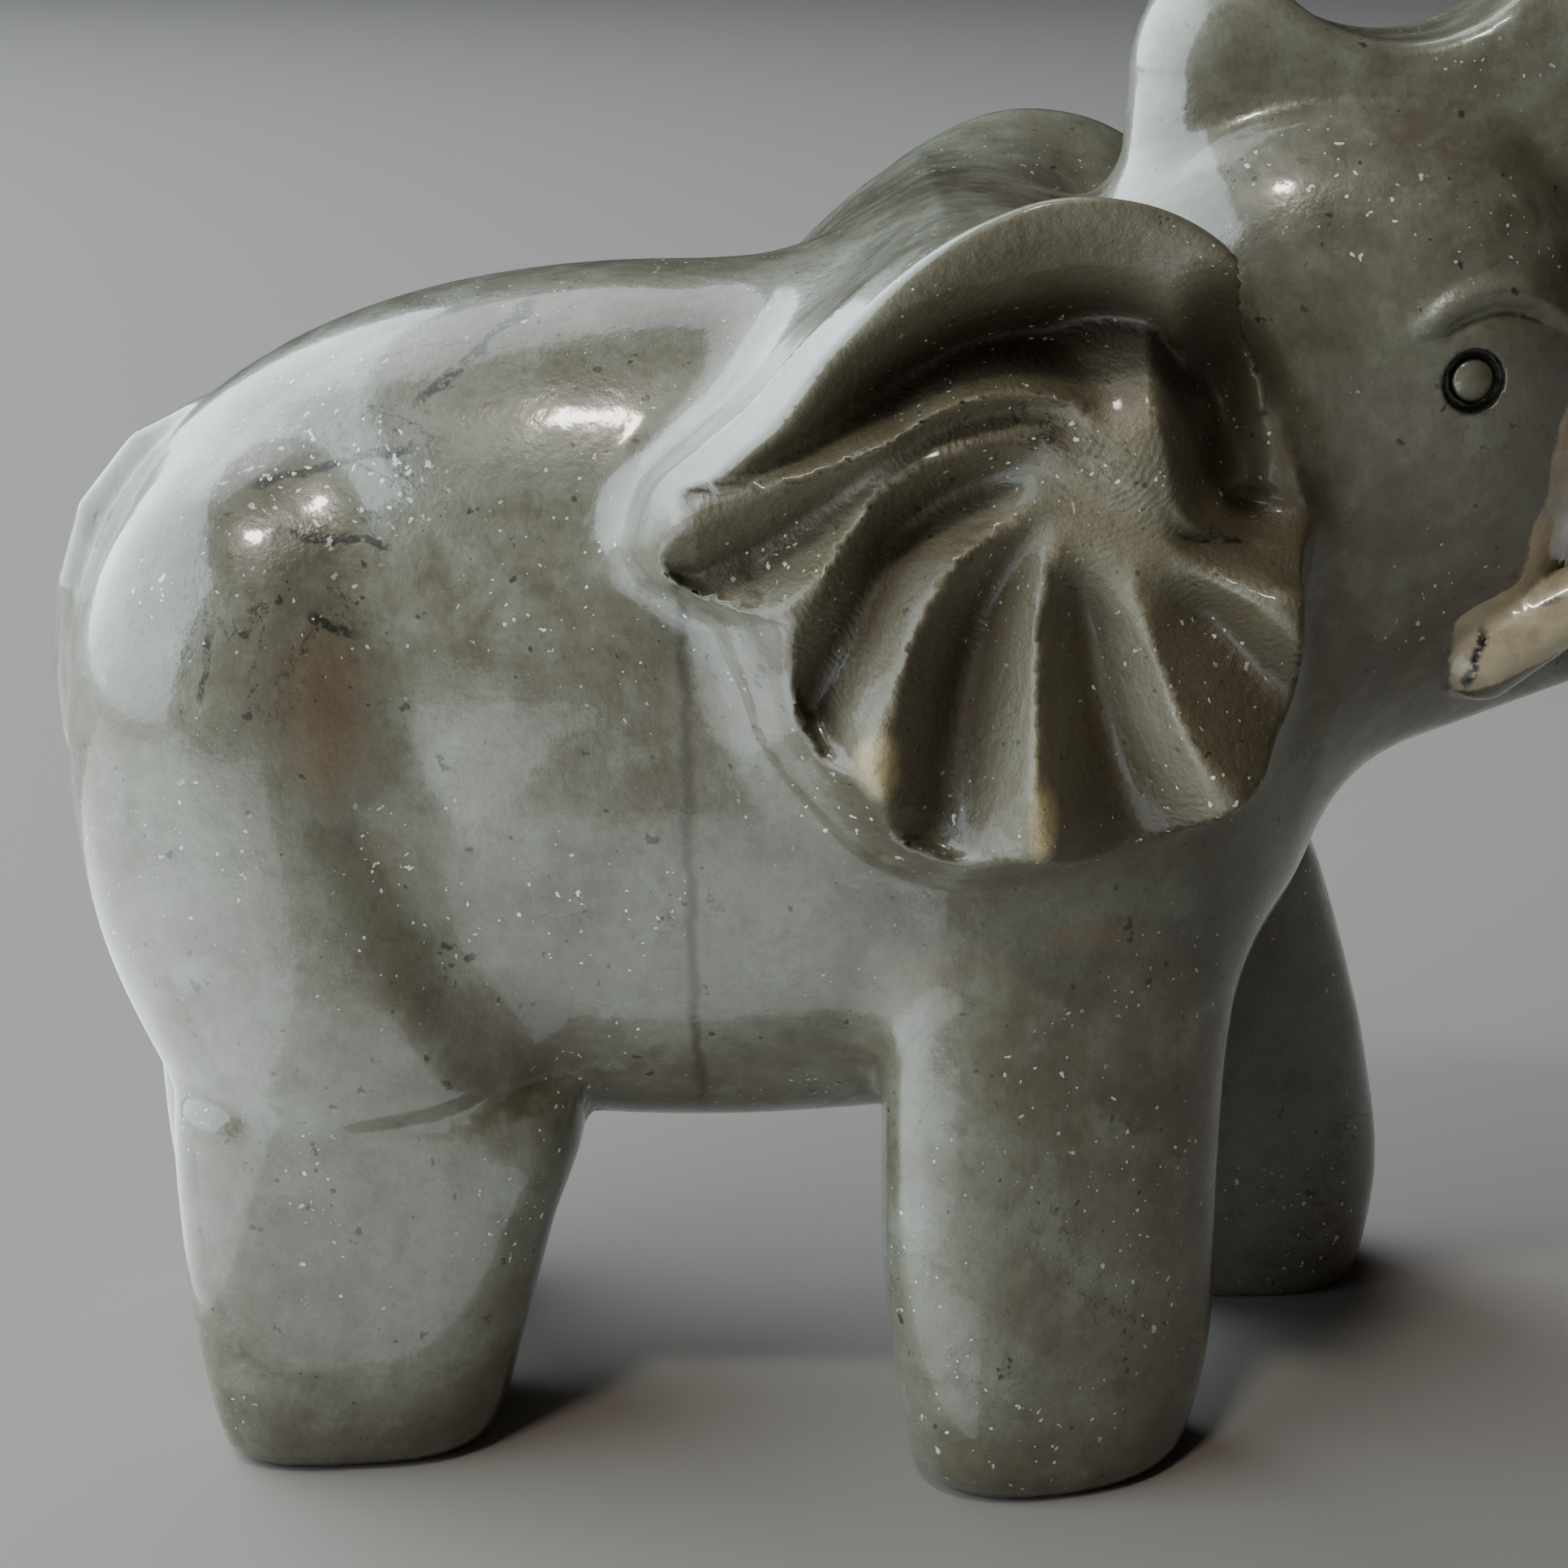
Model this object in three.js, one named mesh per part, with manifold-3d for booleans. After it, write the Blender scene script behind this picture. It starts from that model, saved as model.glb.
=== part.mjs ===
// A small elephant carved from one piece of jasper, walking, with its trunk raised.
// Millimetres, +X towards the head, +Y to the elephant's left, +Z up, feet on z = 0.
// The body is one field of distances, negative inside the stone: rounded masses melted
// together, then cut with the same tools a carver would use, and skinned with triangles.

import * as THREE from 'three';
import { mergeVertices } from 'three/addons/utils/BufferGeometryUtils.js';
import Module from 'manifold-3d';

// The stone
const STONE = { color: 0x77786c, roughness: 0.22, metalness: 0.0 };
// Half way along the carving, which is where the finished part has x = 0
const MIDDLE_X = 3.72;

// Masses: centre, half sizes and squareness (2 is an ellipsoid, more is boxier)
const BARREL = { at: [-4.6, 0, 37.5], half: [32.2, 15.8, 22.4], square: 2.25 };
const CHEST = { at: [10, 0, 39.5], half: [17, 15.2, 20], square: 2.2 };
const NECK = { at: [15, 0, 48], half: [14, 12, 13.6], square: 2 };
const SKULL = { at: [28, 0, 54.6], half: [13, 11.7, 14.6], square: 2.5 };
const HIP = { at: [-25.6, 7.2, 36], half: [9.4, 8.8, 15], square: 2.1 };
const KNEE = { at: [-21.2, 8.1, 23.8], half: [10.2, 8.7, 10.8], square: 2.2 };
const FOREHEAD = { at: [31, 0, 66], half: [9, 9, 9], square: 2.4 };

// Rods: ends with a radius at each
const JAW = { from: [28, 0, 43.4], to: [41.6, 0, 40.9], radii: [10.6, 2.7] };
const CROWN = { from: [24.6, 0, 60], to: [23.6, 0, 69.6], radii: [8.2, 6.4] };
// The tusks lie along the cheeks, and the mouth is a wedge open to the front
const TUSK = { from: [35, 6.3, 41], to: [41.4, 6.4, 44.9], radii: [2.3, 1.6] };
const MOUTH = { corner: [39.4, 42.8], opening: 12, low: 14, high: 40, half: 5.4 };

// The crown, the saddle and the trunk are one plate, thinner than the skull
const PLATE_HALF = { low: 5.4, high: 4.4, fromZ: 66, toZ: 84 };
const SADDLE = { x: 30, z: 79.2, radius: 8 };
const TRUNK_TOP = 89.6;
const TRUNK_FOOT = 48;
const TRUNK = [
  // z, back, front, half width
  [48, 31.0, 44.6, 7.2],
  [56, 31.5, 45.4, 6.6],
  [63, 32.6, 45.3, 5.7],
  [70, 34.4, 45.0, 5.1],
  [75, 36.5, 44.9, 4.8],
  [79, 37.7, 45.0, 4.4],
  [83, 38.6, 45.3, 4.1],
  [87, 39.8, 45.7, 3.9],
  [91, 41.0, 46.4, 3.7],
];

// Legs: z, rear, front, outer, inner. The walk puts the near hind and the far front leg forward.
const HIND_LEG = [
  [0, -28.3, -15.9, 14.2, 3.8],
  [1, -29.1, -14.9, 14.9, 3.3],
  [6, -30.1, -13.4, 15.5, 3.0],
  [12, -30.7, -11.8, 15.8, 3.0],
  [17, -30.9, -10.2, 15.7, 2.5],
  [24, -30.6, -9.6, 15.0, 2.0],
];
const HIND_STRIDE = -4.2;
const STRIDE_SHARE = { hip: 0.4, knee: 0.6 };
const HOCK_HEIGHT = 20.4;
const HOCK_TURN = 0.11;
const NEAR_FRONT_LEG = [
  [0, 7.8, 20.2, 17.6, 7.0],
  [1.4, 6.6, 21.0, 18.3, 6.4],
  [7, 5.5, 22.1, 18.3, 6.0],
  [14, 4.9, 22.3, 17.6, 5.5],
  [20, 4.9, 22.6, 17.0, 5.0],
  [30, 5.6, 24.2, 16.2, 3.0],
];
const FAR_FRONT_LEG = [
  [0, 19.0, 32.4, 17.6, 7.0],
  [1.4, 18.0, 33.2, 18.3, 6.4],
  [7, 16.6, 33.9, 18.3, 6.0],
  [14, 14.2, 32.9, 17.6, 5.5],
  [20, 11.2, 31.4, 17.0, 5.0],
  [30, 6.5, 28.2, 16.2, 3.0],
];
const SHOULDER_HEIGHT = 33;
const SHOULDER_TURN = 0.22;
// The haunch laps over the hind leg: height of its lower edge at the rear, and how it rises
const LAP = { rear: -30, z: 17.6, rise: 0.16, edge: 1.2, inset: 1.2, melt: 4 };
// A crease on each side parts the thigh from the belly
const CREASE = { from: [-20.2, 17.6, 35], to: [-11.6, 16.4, 19.8], radii: [0.5, 1.5], melt: 3 };

// The tail lies down the middle of the rump: x, z
const TAIL = [
  [-27.6, 50.4],
  [-29.8, 51.2],
  [-32.4, 49.9],
  [-34.9, 46.8],
  [-36.1, 43.0],
  [-36.5, 39.0],
  [-36.3, 36.0],
  [-35.6, 32.6],
];
const TAIL_RADIUS = 1.55;

// The ear is a fan about a root on the side of the neck. Its rim and the slope of the wall
// behind the rim are given by the angle about the root, in degrees up from +X.
const EAR_ROOT = { x: 16.4, z: 51.4 };
const EAR_RIM = [
  [-60, 13.9],
  [-54, 13.1],
  [-34, 9.6],
  [-15, 8.6],
  [0, 7.6],
  [20, 7.2],
  [35, 8.2],
  [45, 9.2],
  [61, 11.2],
  [77, 13],
  [93, 14.2],
  [109, 14.9],
  [125, 15.1],
  [145, 15.5],
  [157, 16.2],
  [166, 17],
  [174, 18.9],
  [180, 20.8],
  [186, 21.3],
  [190, 20.6],
  [194, 18.7],
  [199, 17.1],
  [206, 17],
  [214, 17.6],
  [226, 18],
  [235, 18.5],
  [244, 18.3],
  [256, 17.6],
  [265, 17.1],
  [276, 16.4],
  [286, 15.7],
  [296, 14.7],
  [300, 13.9],
];
const EAR_WALL = [
  [-60, 0],
  [0, 0],
  [40, -0.15],
  [70, -0.3],
  [90, -0.4],
  [108, -0.2],
  [126, 0],
  [145, 0.22],
  [165, 0.42],
  [180, 0.6],
  [200, 0.9],
  [222, 0.8],
  [245, 0.55],
  [268, 0.2],
  [300, 0],
];
// How far the ear stands out from the middle plane, where it starts to rise to the rim, and how
// far down a wall that slopes outward keeps its slope
const EAR_OUT = { root: 17.2, rim: 20.9, plate: 20.3, foot: 8, riseFrom: 0.2, sloped: 3.2 };
// Toward the temple, between these angles, the ear runs down to the side of the head
const TEMPLE = { drop: 7.5, from: -44, full: -8, fading: 30, until: 66, start: 2, span: 4, spare: 0.8 };
// Crests between the channels, each as radius and angle about the root. The channel above the
// first one is the bowl under the hood.
const CRESTS = [
  [[5, 122], [7.8, 140], [10.5, 157], [12, 166], [15.7, 175], [20.6, 181]],
  [[5, 148], [7, 158], [9.8, 170], [12, 179], [13.5, 187], [15, 193], [18, 201]],
  [[4.5, 188], [6.2, 194], [8.6, 200], [11.6, 210], [14.4, 219], [18.1, 228]],
  [[4, 212], [6.3, 228], [8.9, 240], [11.5, 247], [14.5, 252], [17, 255]],
  [[4, 272], [8.6, 280], [11.2, 283], [14, 287], [17, 291]],
  [[2, 306], [4, 314], [6, 323], [8, 328], [11, 330]],
];
// How steeply a channel leaves its crest: the bowl's side and the temple's side are cut steeper
const CHANNEL = {
  slope: 1.15, bowl: 2.4, temple: 2.2, lean: 0.88, edge: 0.12, round: 1.4, start: 2.2, over: 5,
};
// The deepest cut by angle
const DEEPEST = [
  [-60, 4.2],
  [-38, 3.6],
  [-22, 1.0],
  [0, 0.5],
  [30, 1.0],
  [45, 3.2],
  [62, 5.6],
  [80, 6.8],
  [150, 6.6],
  [170, 5.2],
  [186, 4.2],
  [300, 4.2],
];
// The hood's rim: how wide its gentle roll is by angle, then how it falls to the bowl
const ROLL = [
  [-60, 0],
  [30, 0.8],
  [45, 1.6],
  [62, 2.6],
  [85, 3.3],
  [115, 3.0],
  [140, 1.0],
  [155, 0.2],
  [300, 0],
];
const HOOD = {
  from: 12, full: 28, fading: 176, until: 184, lean: 0.92, gentle: 0.45, steep: 1.35, round: 2.4, none: 12,
};
// A deep recess parts the fan from the temple, and a mound stands beside it over the root. The
// mound is steep towards the recess, along this edge: z, x.
const RECESS = {
  x: 20.9, z: 54.4, halfX: 3.7, halfZ: 6.4, floor: 10.9, mouth: 17, lean: 6, square: 2.4, curl: 1.7,
};
const MOUND_EDGE = [
  [44, 25],
  [48.2, 24.5],
  [48.8, 22],
  [49.4, 20.2],
  [50.4, 18.8],
  [52, 18],
  [54, 17.6],
  [57, 17.3],
  [60, 17.2],
  [70, 17.2],
];
const MOUND = {
  height: 18.3, steep: 2.4, gentle: 0.22, curl: 0.04, ridge: 1, top: 54.8, topFall: 0.9, topRound: 1.5,
  foot: 50.5, footFall: 0.45, footRound: 1, edge: 17.8, edgeFall: 0.55, melt: 1.2,
};
const CARVED_EDGE = 1.6;
// The fan is cut on a web of spokes between the crests and rings at these shares of the rim
const FAN_RINGS = [0.14, 0.28, 0.42, 0.56, 0.68, 0.78, 0.87, 0.95, 1.06];
const FAN_SPOKES = [5, 5, 5, 5, 5, 16];
const FAN_RADIUS = 17.5;
const FAN_CLEARANCE = 4;
// The rim's edge: how deep it goes before it is lost in the stone, and how far it draws in
const RIM_DEPTH = 2.6;
const RIM_TUCK = 0.7;

// The drilled eye: a ring groove round a domed pupil
const EYE = { x: 33.1, z: 55.7, outer: 1.5, inner: 1.02, depth: 0.6, sink: 0.1 };

// How far apart the masses start to melt together, and how round the cut edges are
const MELT = {
  barrelChest: 6, neck: 5, jaw: 4, trunk: 3, forehead: 2.5, plate: 0.9, head: 4, hipKnee: 6,
  thigh: 1.8, hindLeg: 0.9, frontLeg: 2.2, ear: 3.2,
};
const EDGE = {
  hock: 2, shoulder: 8, trunkTop: 2.5, trunkFoot: 4, saddle: 0.8, plate: 1.2, sole: 0.6, ear: 0.8,
};

// The skin: how far a corner slides onto the surface, and what counts as flat under the feet
const PROBE = 0.05;
const SETTLE = 0.12;
const SOLE_SNAP = 0.3;

const clamp = (value, low, high) => Math.min(high, Math.max(low, value));
const mix = (a, b, t) => a + (b - a) * t;
const ease = (t) => THREE.MathUtils.smoothstep(t, 0, 1);

/** The smaller of two distances, rounded where they are within k of each other. */
function join(a, b, k) {
  const h = clamp(0.5 + (0.5 * (b - a)) / k, 0, 1);
  return mix(b, a, h) - k * h * (1 - h);
}

/** The larger of two distances, rounded in the same way: what is left inside both. */
const keep = (a, b, k) => -join(-a, -b, k);

/** A smooth curve through [position, value] pairs that never overshoots them. */
function curve(positions, values) {
  const last = positions.length - 1;
  const slopes = [];
  for (let i = 0; i < last; i += 1) {
    slopes.push((values[i + 1] - values[i]) / (positions[i + 1] - positions[i]));
  }
  const tangents = [slopes[0]];
  for (let i = 1; i < last; i += 1) {
    const [before, after] = [slopes[i - 1], slopes[i]];
    tangents.push(before * after > 0 ? (2 * before * after) / (before + after) : 0);
  }
  tangents.push(slopes[last - 1]);
  return (position) => {
    const at = clamp(position, positions[0], positions[last]);
    let i = 0;
    while (i < last - 1 && at > positions[i + 1]) i += 1;
    const span = positions[i + 1] - positions[i];
    const t = (at - positions[i]) / span;
    const [t2, t3] = [t * t, t * t * t];
    return (
      values[i] * (2 * t3 - 3 * t2 + 1) +
      span * tangents[i] * (t3 - 2 * t2 + t) +
      values[i + 1] * (3 * t2 - 2 * t3) +
      span * tangents[i + 1] * (t3 - t2)
    );
  };
}

/** One curve per column of a table, all against the table's first column. */
function curves(rows) {
  const positions = rows.map((row) => row[0]);
  return rows[0].slice(1).map((_, i) => curve(positions, rows.map((row) => row[i + 1])));
}

/** Distance to a squared ellipsoid; pitch turns its nose up. */
function mass({ at, half, square, pitch = 0 }, x, y, z) {
  const angle = THREE.MathUtils.degToRad(pitch);
  const [c, s] = [Math.cos(angle), Math.sin(angle)];
  const [dx, dz] = [x - at[0], z - at[2]];
  const along = [
    Math.abs(dx * c + dz * s) / half[0],
    Math.abs(y - at[1]) / half[1],
    Math.abs(dz * c - dx * s) / half[2],
  ];
  const size = along.reduce((sum, q) => sum + q ** square, 0) ** (1 / square);
  const slope = Math.hypot(...along.map((q, i) => (q / size) ** (square - 1) / half[i]));
  return (size - 1) / Math.max(slope, 0.02);
}

/** Distance to a tapered round rod. */
function rod({ from, to, radii }, x, y, z) {
  const span = [to[0] - from[0], to[1] - from[1], to[2] - from[2]];
  const near = [x - from[0], y - from[1], z - from[2]];
  const dot = near[0] * span[0] + near[1] * span[1] + near[2] * span[2];
  const t = clamp(dot / (span[0] ** 2 + span[1] ** 2 + span[2] ** 2), 0, 1);
  const away = Math.hypot(
    near[0] - span[0] * t,
    near[1] - span[1] * t,
    near[2] - span[2] * t,
  );
  return away - mix(radii[0], radii[1], t);
}

/** Distance to an upright column whose section changes with height, sheared by `turn`. */
function column(rows, square, top, soft, turn = 0) {
  const [rearAt, frontAt, outerAt, innerAt] = curves(rows);
  return (x, y, z) => {
    const [rear, front, outer, inner] = [rearAt(z), frontAt(z), outerAt(z), innerAt(z)];
    const [middleX, halfX] = [(rear + front) / 2, (front - rear) / 2];
    const [middleY, halfY] = [(outer + inner) / 2, (outer - inner) / 2];
    const qx = Math.abs(x - middleX) / halfX;
    const qy = Math.abs(y + turn * (x - middleX) - middleY) / halfY;
    const size = Math.max((qx ** square + qy ** square) ** (1 / square), 1e-9);
    const power = square - 1;
    const slope = Math.hypot((qx / size) ** power / halfX, (qy / size) ** power / halfY);
    return keep((size - 1) / Math.max(slope, 0.03), z - top, soft);
  };
}

const hindLeg = column(HIND_LEG, 3, HOCK_HEIGHT, EDGE.hock, HOCK_TURN);
const nearFrontLeg = column(NEAR_FRONT_LEG, 2.3, SHOULDER_HEIGHT, EDGE.shoulder, SHOULDER_TURN);
const farFrontLeg = column(FAR_FRONT_LEG, 2.8, SHOULDER_HEIGHT, EDGE.shoulder);
const trunkRows = TRUNK.map(([z, back, front, half]) => [z, back, front, half, -half]);
const trunk = column(trunkRows, 2.3, TRUNK_TOP, EDGE.trunkTop);
const [earRim] = curves(EAR_RIM);
const [earWall] = curves(EAR_WALL);

const crestAngles = CRESTS.map((rows) => curves(rows)[0]);
const [deepest] = curves(DEEPEST);
const [roll] = curves(ROLL);
const [moundEdge] = curves(MOUND_EDGE);

/** How deep the ear is cut: the distance to the nearest crest times its slope, under the hood. */
function cutDepth({ radius, turn, share }) {
  let depth = deepest(turn);
  crestAngles.forEach((crest, i) => {
    const around = THREE.MathUtils.euclideanModulo(turn - crest(radius) + 180, 360) - 180;
    const away = Math.hypot(radius * THREE.MathUtils.degToRad(around) * CHANNEL.lean, CHANNEL.edge);
    let { slope } = CHANNEL;
    if (i === 0 && around < 0) slope = CHANNEL.bowl;
    if (i === CRESTS.length - 1 && around > 0) slope = CHANNEL.temple;
    depth = join(depth, away * slope, CHANNEL.round);
  });
  depth = Math.max(depth, 0) * ease((radius - CHANNEL.start) / CHANNEL.over);
  const inset = ((1 - share) * radius * HOOD.lean) / share;
  const rolled = roll(turn);
  const rim = HOOD.gentle * Math.min(inset, rolled) + HOOD.steep * Math.max(inset - rolled, 0);
  const opening = ease((turn - HOOD.from) / (HOOD.full - HOOD.from));
  const closing = ease((HOOD.until - turn) / (HOOD.until - HOOD.fading));
  return join(depth, rim + HOOD.none * (1 - opening * closing), HOOD.round);
}

/** Polar place of a point about the ear's root: radius, angle from -60 to 300, share of the rim. */
function fanPlace(x, z) {
  const [dx, dz] = [x - EAR_ROOT.x, z - EAR_ROOT.z];
  const radius = Math.hypot(dx, dz) + 1e-6;
  const degrees = THREE.MathUtils.radToDeg(Math.atan2(dz, dx));
  const turn = degrees < -60 ? degrees + 360 : degrees;
  return { radius, turn, share: radius / earRim(turn) };
}

/** How far the ear stands out before its flutes are cut. */
function earOut({ radius, turn, share }) {
  const { drop, from, full, fading, until, start, span } = TEMPLE;
  const toward = ease((turn - from) / (full - from)) * ease((until - turn) / (until - fading));
  const rise = ease((share - EAR_OUT.riseFrom) / (1 - EAR_OUT.riseFrom));
  return mix(EAR_OUT.root, EAR_OUT.rim, rise) - drop * toward * ease((radius - start) / span);
}

/** How far the mound over the root stands out. */
function mound(x, z) {
  const right = x - moundEdge(z);
  const left = -MOUND.gentle * right + MOUND.curl * Math.min(right, 0) ** 2;
  const fall = keep(MOUND.steep * right, left, MOUND.ridge);
  const above = keep(MOUND.topFall * (z - MOUND.top), 0, MOUND.topRound);
  const below = keep(MOUND.footFall * (MOUND.foot - z), 0, MOUND.footRound);
  const aside = MOUND.edgeFall * Math.max(moundEdge(z) - MOUND.edge, 0);
  return MOUND.height - fall - above - below - aside;
}

/** How far the carved face of the ear stands out: channels, recess and mound. */
function earFace(x, z) {
  const place = fanPlace(x, z);
  const carved = earOut(place) - cutDepth(place);
  const lean = THREE.MathUtils.degToRad(RECESS.lean);
  const [rx, rz] = [x - RECESS.x, z - RECESS.z];
  const across = Math.abs(rx * Math.cos(lean) + rz * Math.sin(lean)) / RECESS.halfX;
  const up = Math.abs(rz * Math.cos(lean) - rx * Math.sin(lean)) / RECESS.halfZ;
  const out = (across ** RECESS.square + up ** RECESS.square) ** (RECESS.curl / RECESS.square);
  const hollow = mix(RECESS.floor, RECESS.mouth, out);
  return keep(join(carved, hollow, CARVED_EDGE), mound(x, z), MOUND.melt);
}

/** Distance to the stone an ear is carved from, a little short of its flat, on either side. */
function earStone(x, side, z) {
  const place = fanPlace(x, z);
  const slope = earWall(place.turn);
  const sloped = slope > 0 ? EAR_OUT.sloped : EAR_OUT.plate - EAR_OUT.foot;
  const wall = slope * clamp(EAR_OUT.plate - side, 0, sloped);
  const outline = place.radius - earRim(place.turn) - wall;
  const plate = Math.min(EAR_OUT.plate, earOut(place) + TEMPLE.spare) - EDGE.ear;
  return keep(outline, side - plate, EDGE.ear);
}

/** Distance to the head with its crown, saddle and raised trunk. */
function head(x, y, z) {
  const side = Math.abs(y);
  const skull = join(mass(SKULL, x, y, z), rod(JAW, x, y, z), MELT.jaw);
  let plate = join(rod(CROWN, x, y, z), keep(trunk(x, y, z), TRUNK_FOOT - z, EDGE.trunkFoot), MELT.trunk);
  plate = join(plate, mass(FOREHEAD, x, y, z), MELT.forehead);
  plate = keep(plate, SADDLE.radius - Math.hypot(x - SADDLE.x, z - SADDLE.z), EDGE.saddle);
  const rise = ease((z - PLATE_HALF.fromZ) / (PLATE_HALF.toZ - PLATE_HALF.fromZ));
  plate = keep(plate, side - mix(PLATE_HALF.low, PLATE_HALF.high, rise), EDGE.plate);
  return join(skull, plate, MELT.plate);
}

/** Distance to the haunch on one side: hip and knee, drawn back by `stride`. */
function haunch(x, side, z, stride) {
  const hip = mass(HIP, x - stride * STRIDE_SHARE.hip, side, z);
  const knee = mass(KNEE, x - stride * STRIDE_SHARE.knee, side, z);
  const edge = LAP.z + LAP.rise * (x - LAP.rear) - z;
  const lapped = keep(join(hip, knee, MELT.hipKnee), edge, LAP.edge);
  return join(lapped, mass(HIP, x - stride * STRIDE_SHARE.hip, side + LAP.inset, z), LAP.melt);
}

/** Distance to the body with its head, legs and uncarved ears. */
function elephant(x, y, z) {
  let stone = join(mass(BARREL, x, y, z), mass(CHEST, x, y, z), MELT.barrelChest);
  stone = join(stone, mass(NECK, x, y, z), MELT.neck);
  stone = join(stone, head(x, y, z), MELT.head);
  stone = join(stone, haunch(x, -y, z, 0), MELT.thigh);
  stone = join(stone, haunch(x, y, z, HIND_STRIDE), MELT.thigh);
  stone = keep(stone, -rod(CREASE, x, Math.abs(y), z), CREASE.melt);
  stone = join(stone, hindLeg(x, -y, z), MELT.hindLeg);
  stone = join(stone, hindLeg(x - HIND_STRIDE, y, z), MELT.hindLeg);
  stone = join(stone, nearFrontLeg(x, -y, z), MELT.frontLeg);
  stone = join(stone, farFrontLeg(x, y, z), MELT.frontLeg);
  stone = join(stone, earStone(x, Math.abs(y), z), MELT.ear);
  return keep(stone, -z, EDGE.sole);
}

/** Grid lines from [start, step, until, step, until, ...]. */
function ladder(start, ...stretches) {
  const lines = [start];
  for (let i = 0; i < stretches.length; i += 2) {
    const [step, until] = [stretches[i], stretches[i + 1]];
    const from = lines[lines.length - 1];
    const count = Math.max(1, Math.round((until - from) / step));
    for (let j = 1; j <= count; j += 1) lines.push(from + ((until - from) * j) / count);
  }
  return lines;
}

/** Ladders mirrored about zero, so both sides of the body are sampled alike. */
function mirrored(lines) {
  const negative = lines.filter((line) => line > 0).map((line) => -line);
  return [...negative.reverse(), ...lines];
}

/** The zero surface of a field as an indexed geometry, one vertex per sheet in each grid cell. */
function skin(field, xs, ys, zs) {
  const [nx, ny, nz] = [xs.length, ys.length, zs.length];
  const node = (i, j, k) => (k * ny + j) * nx + i;
  const value = new Float64Array(nx * ny * nz);
  for (let k = 0; k < nz; k += 1) {
    for (let j = 0; j < ny; j += 1) {
      for (let i = 0; i < nx; i += 1) value[node(i, j, k)] = field(xs[i], ys[j], zs[k]);
    }
  }
  const corners = [];
  for (let c = 0; c < 8; c += 1) corners.push([c & 1, (c >> 1) & 1, (c >> 2) & 1]);
  const edges = [];
  for (let a = 0; a < 8; a += 1) {
    for (const bit of [1, 2, 4]) if (!(a & bit)) edges.push([a, a | bit]);
  }
  const edgeOf = new Map(edges.map(([a, b], i) => [a * 8 + b, i]));
  const faces = [];
  for (const [bit, u, v] of [[1, 2, 4], [2, 1, 4], [4, 1, 2]]) {
    for (const base of [0, bit]) faces.push([base, base | u, base | u | v, base | v]);
  }
  const edgeBetween = (a, b) => edgeOf.get(Math.min(a, b) * 8 + Math.max(a, b));
  const points = [];
  const sheetAt = new Map();
  for (let k = 0; k < nz - 1; k += 1) {
    for (let j = 0; j < ny - 1; j += 1) {
      for (let i = 0; i < nx - 1; i += 1) {
        const values = corners.map(([a, b, c]) => value[node(i + a, j + b, k + c)]);
        const inside = values.map((v) => v < 0);
        if (inside.every((v) => v === inside[0])) continue;
        const sheet = edges.map((_, e) => e);
        const find = (e) => (sheet[e] === e ? e : find(sheet[e]));
        for (const face of faces) {
          for (let c = 0; c < 4; c += 1) {
            const [before, here, after] = [face[(c + 3) % 4], face[c], face[(c + 1) % 4]];
            if (!inside[here]) continue;
            const cutBefore = !inside[before];
            const cutAfter = !inside[after];
            if (cutBefore && cutAfter) {
              sheet[find(edgeBetween(before, here))] = find(edgeBetween(here, after));
            } else if (cutAfter) {
              let c2 = (c + 3) % 4;
              while (inside[face[(c2 + 3) % 4]]) c2 = (c2 + 3) % 4;
              const other = edgeBetween(face[c2], face[(c2 + 3) % 4]);
              sheet[find(other)] = find(edgeBetween(here, after));
            }
          }
        }
        const groups = new Map();
        edges.forEach(([a, b], e) => {
          if (inside[a] === inside[b]) return;
          const t = values[a] / (values[a] - values[b]);
          const [ca, cb] = [corners[a], corners[b]];
          const group = groups.get(find(e)) ?? { sum: [0, 0, 0], edges: [] };
          group.sum[0] += mix(xs[i + ca[0]], xs[i + cb[0]], t);
          group.sum[1] += mix(ys[j + ca[1]], ys[j + cb[1]], t);
          group.sum[2] += mix(zs[k + ca[2]], zs[k + cb[2]], t);
          group.edges.push(e);
          groups.set(find(e), group);
        });
        for (const { sum, edges: cut } of groups.values()) {
          const low = [xs[i], ys[j], zs[k]];
          const high = [xs[i + 1], ys[j + 1], zs[k + 1]];
          const start = sum.map((total) => total / cut.length);
          const vertex = points.push(settle(field, start, low, high)) - 1;
          for (const e of cut) sheetAt.set(node(i, j, k) * 12 + e, vertex);
        }
      }
    }
  }
  const triangles = [];
  const quad = (a, b, c, d) => {
    const apart = (p, q) => Math.hypot(...points[p].map((v, n) => v - points[q][n]));
    if (apart(a, c) <= apart(b, d)) triangles.push(a, b, c, a, c, d);
    else triangles.push(b, c, d, b, d, a);
  };
  const steps = [[1, 0, 0], [0, 1, 0], [0, 0, 1]];
  for (let k = 1; k < nz - 1; k += 1) {
    for (let j = 1; j < ny - 1; j += 1) {
      for (let i = 1; i < nx - 1; i += 1) {
        steps.forEach((step, axis) => {
          const here = value[node(i, j, k)] < 0;
          const there = value[node(i + step[0], j + step[1], k + step[2])] < 0;
          if (here === there) return;
          const [u, v] = [(axis + 1) % 3, (axis + 2) % 3];
          const ring = [[-1, -1], [0, -1], [0, 0], [-1, 0]].map(([du, dv]) => {
            const cell = [i, j, k];
            cell[u] += du;
            cell[v] += dv;
            const from = ((du ? 1 : 0) << u) | ((dv ? 1 : 0) << v);
            return sheetAt.get(node(...cell) * 12 + edgeBetween(from, from | (1 << axis)));
          });
          if (here) quad(...ring);
          else quad(...ring.reverse());
        });
      }
    }
  }
  const geometry = new THREE.BufferGeometry();
  geometry.setAttribute('position', new THREE.Float32BufferAttribute(points.flat(), 3));
  geometry.setIndex(triangles);
  return geometry;
}

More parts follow.
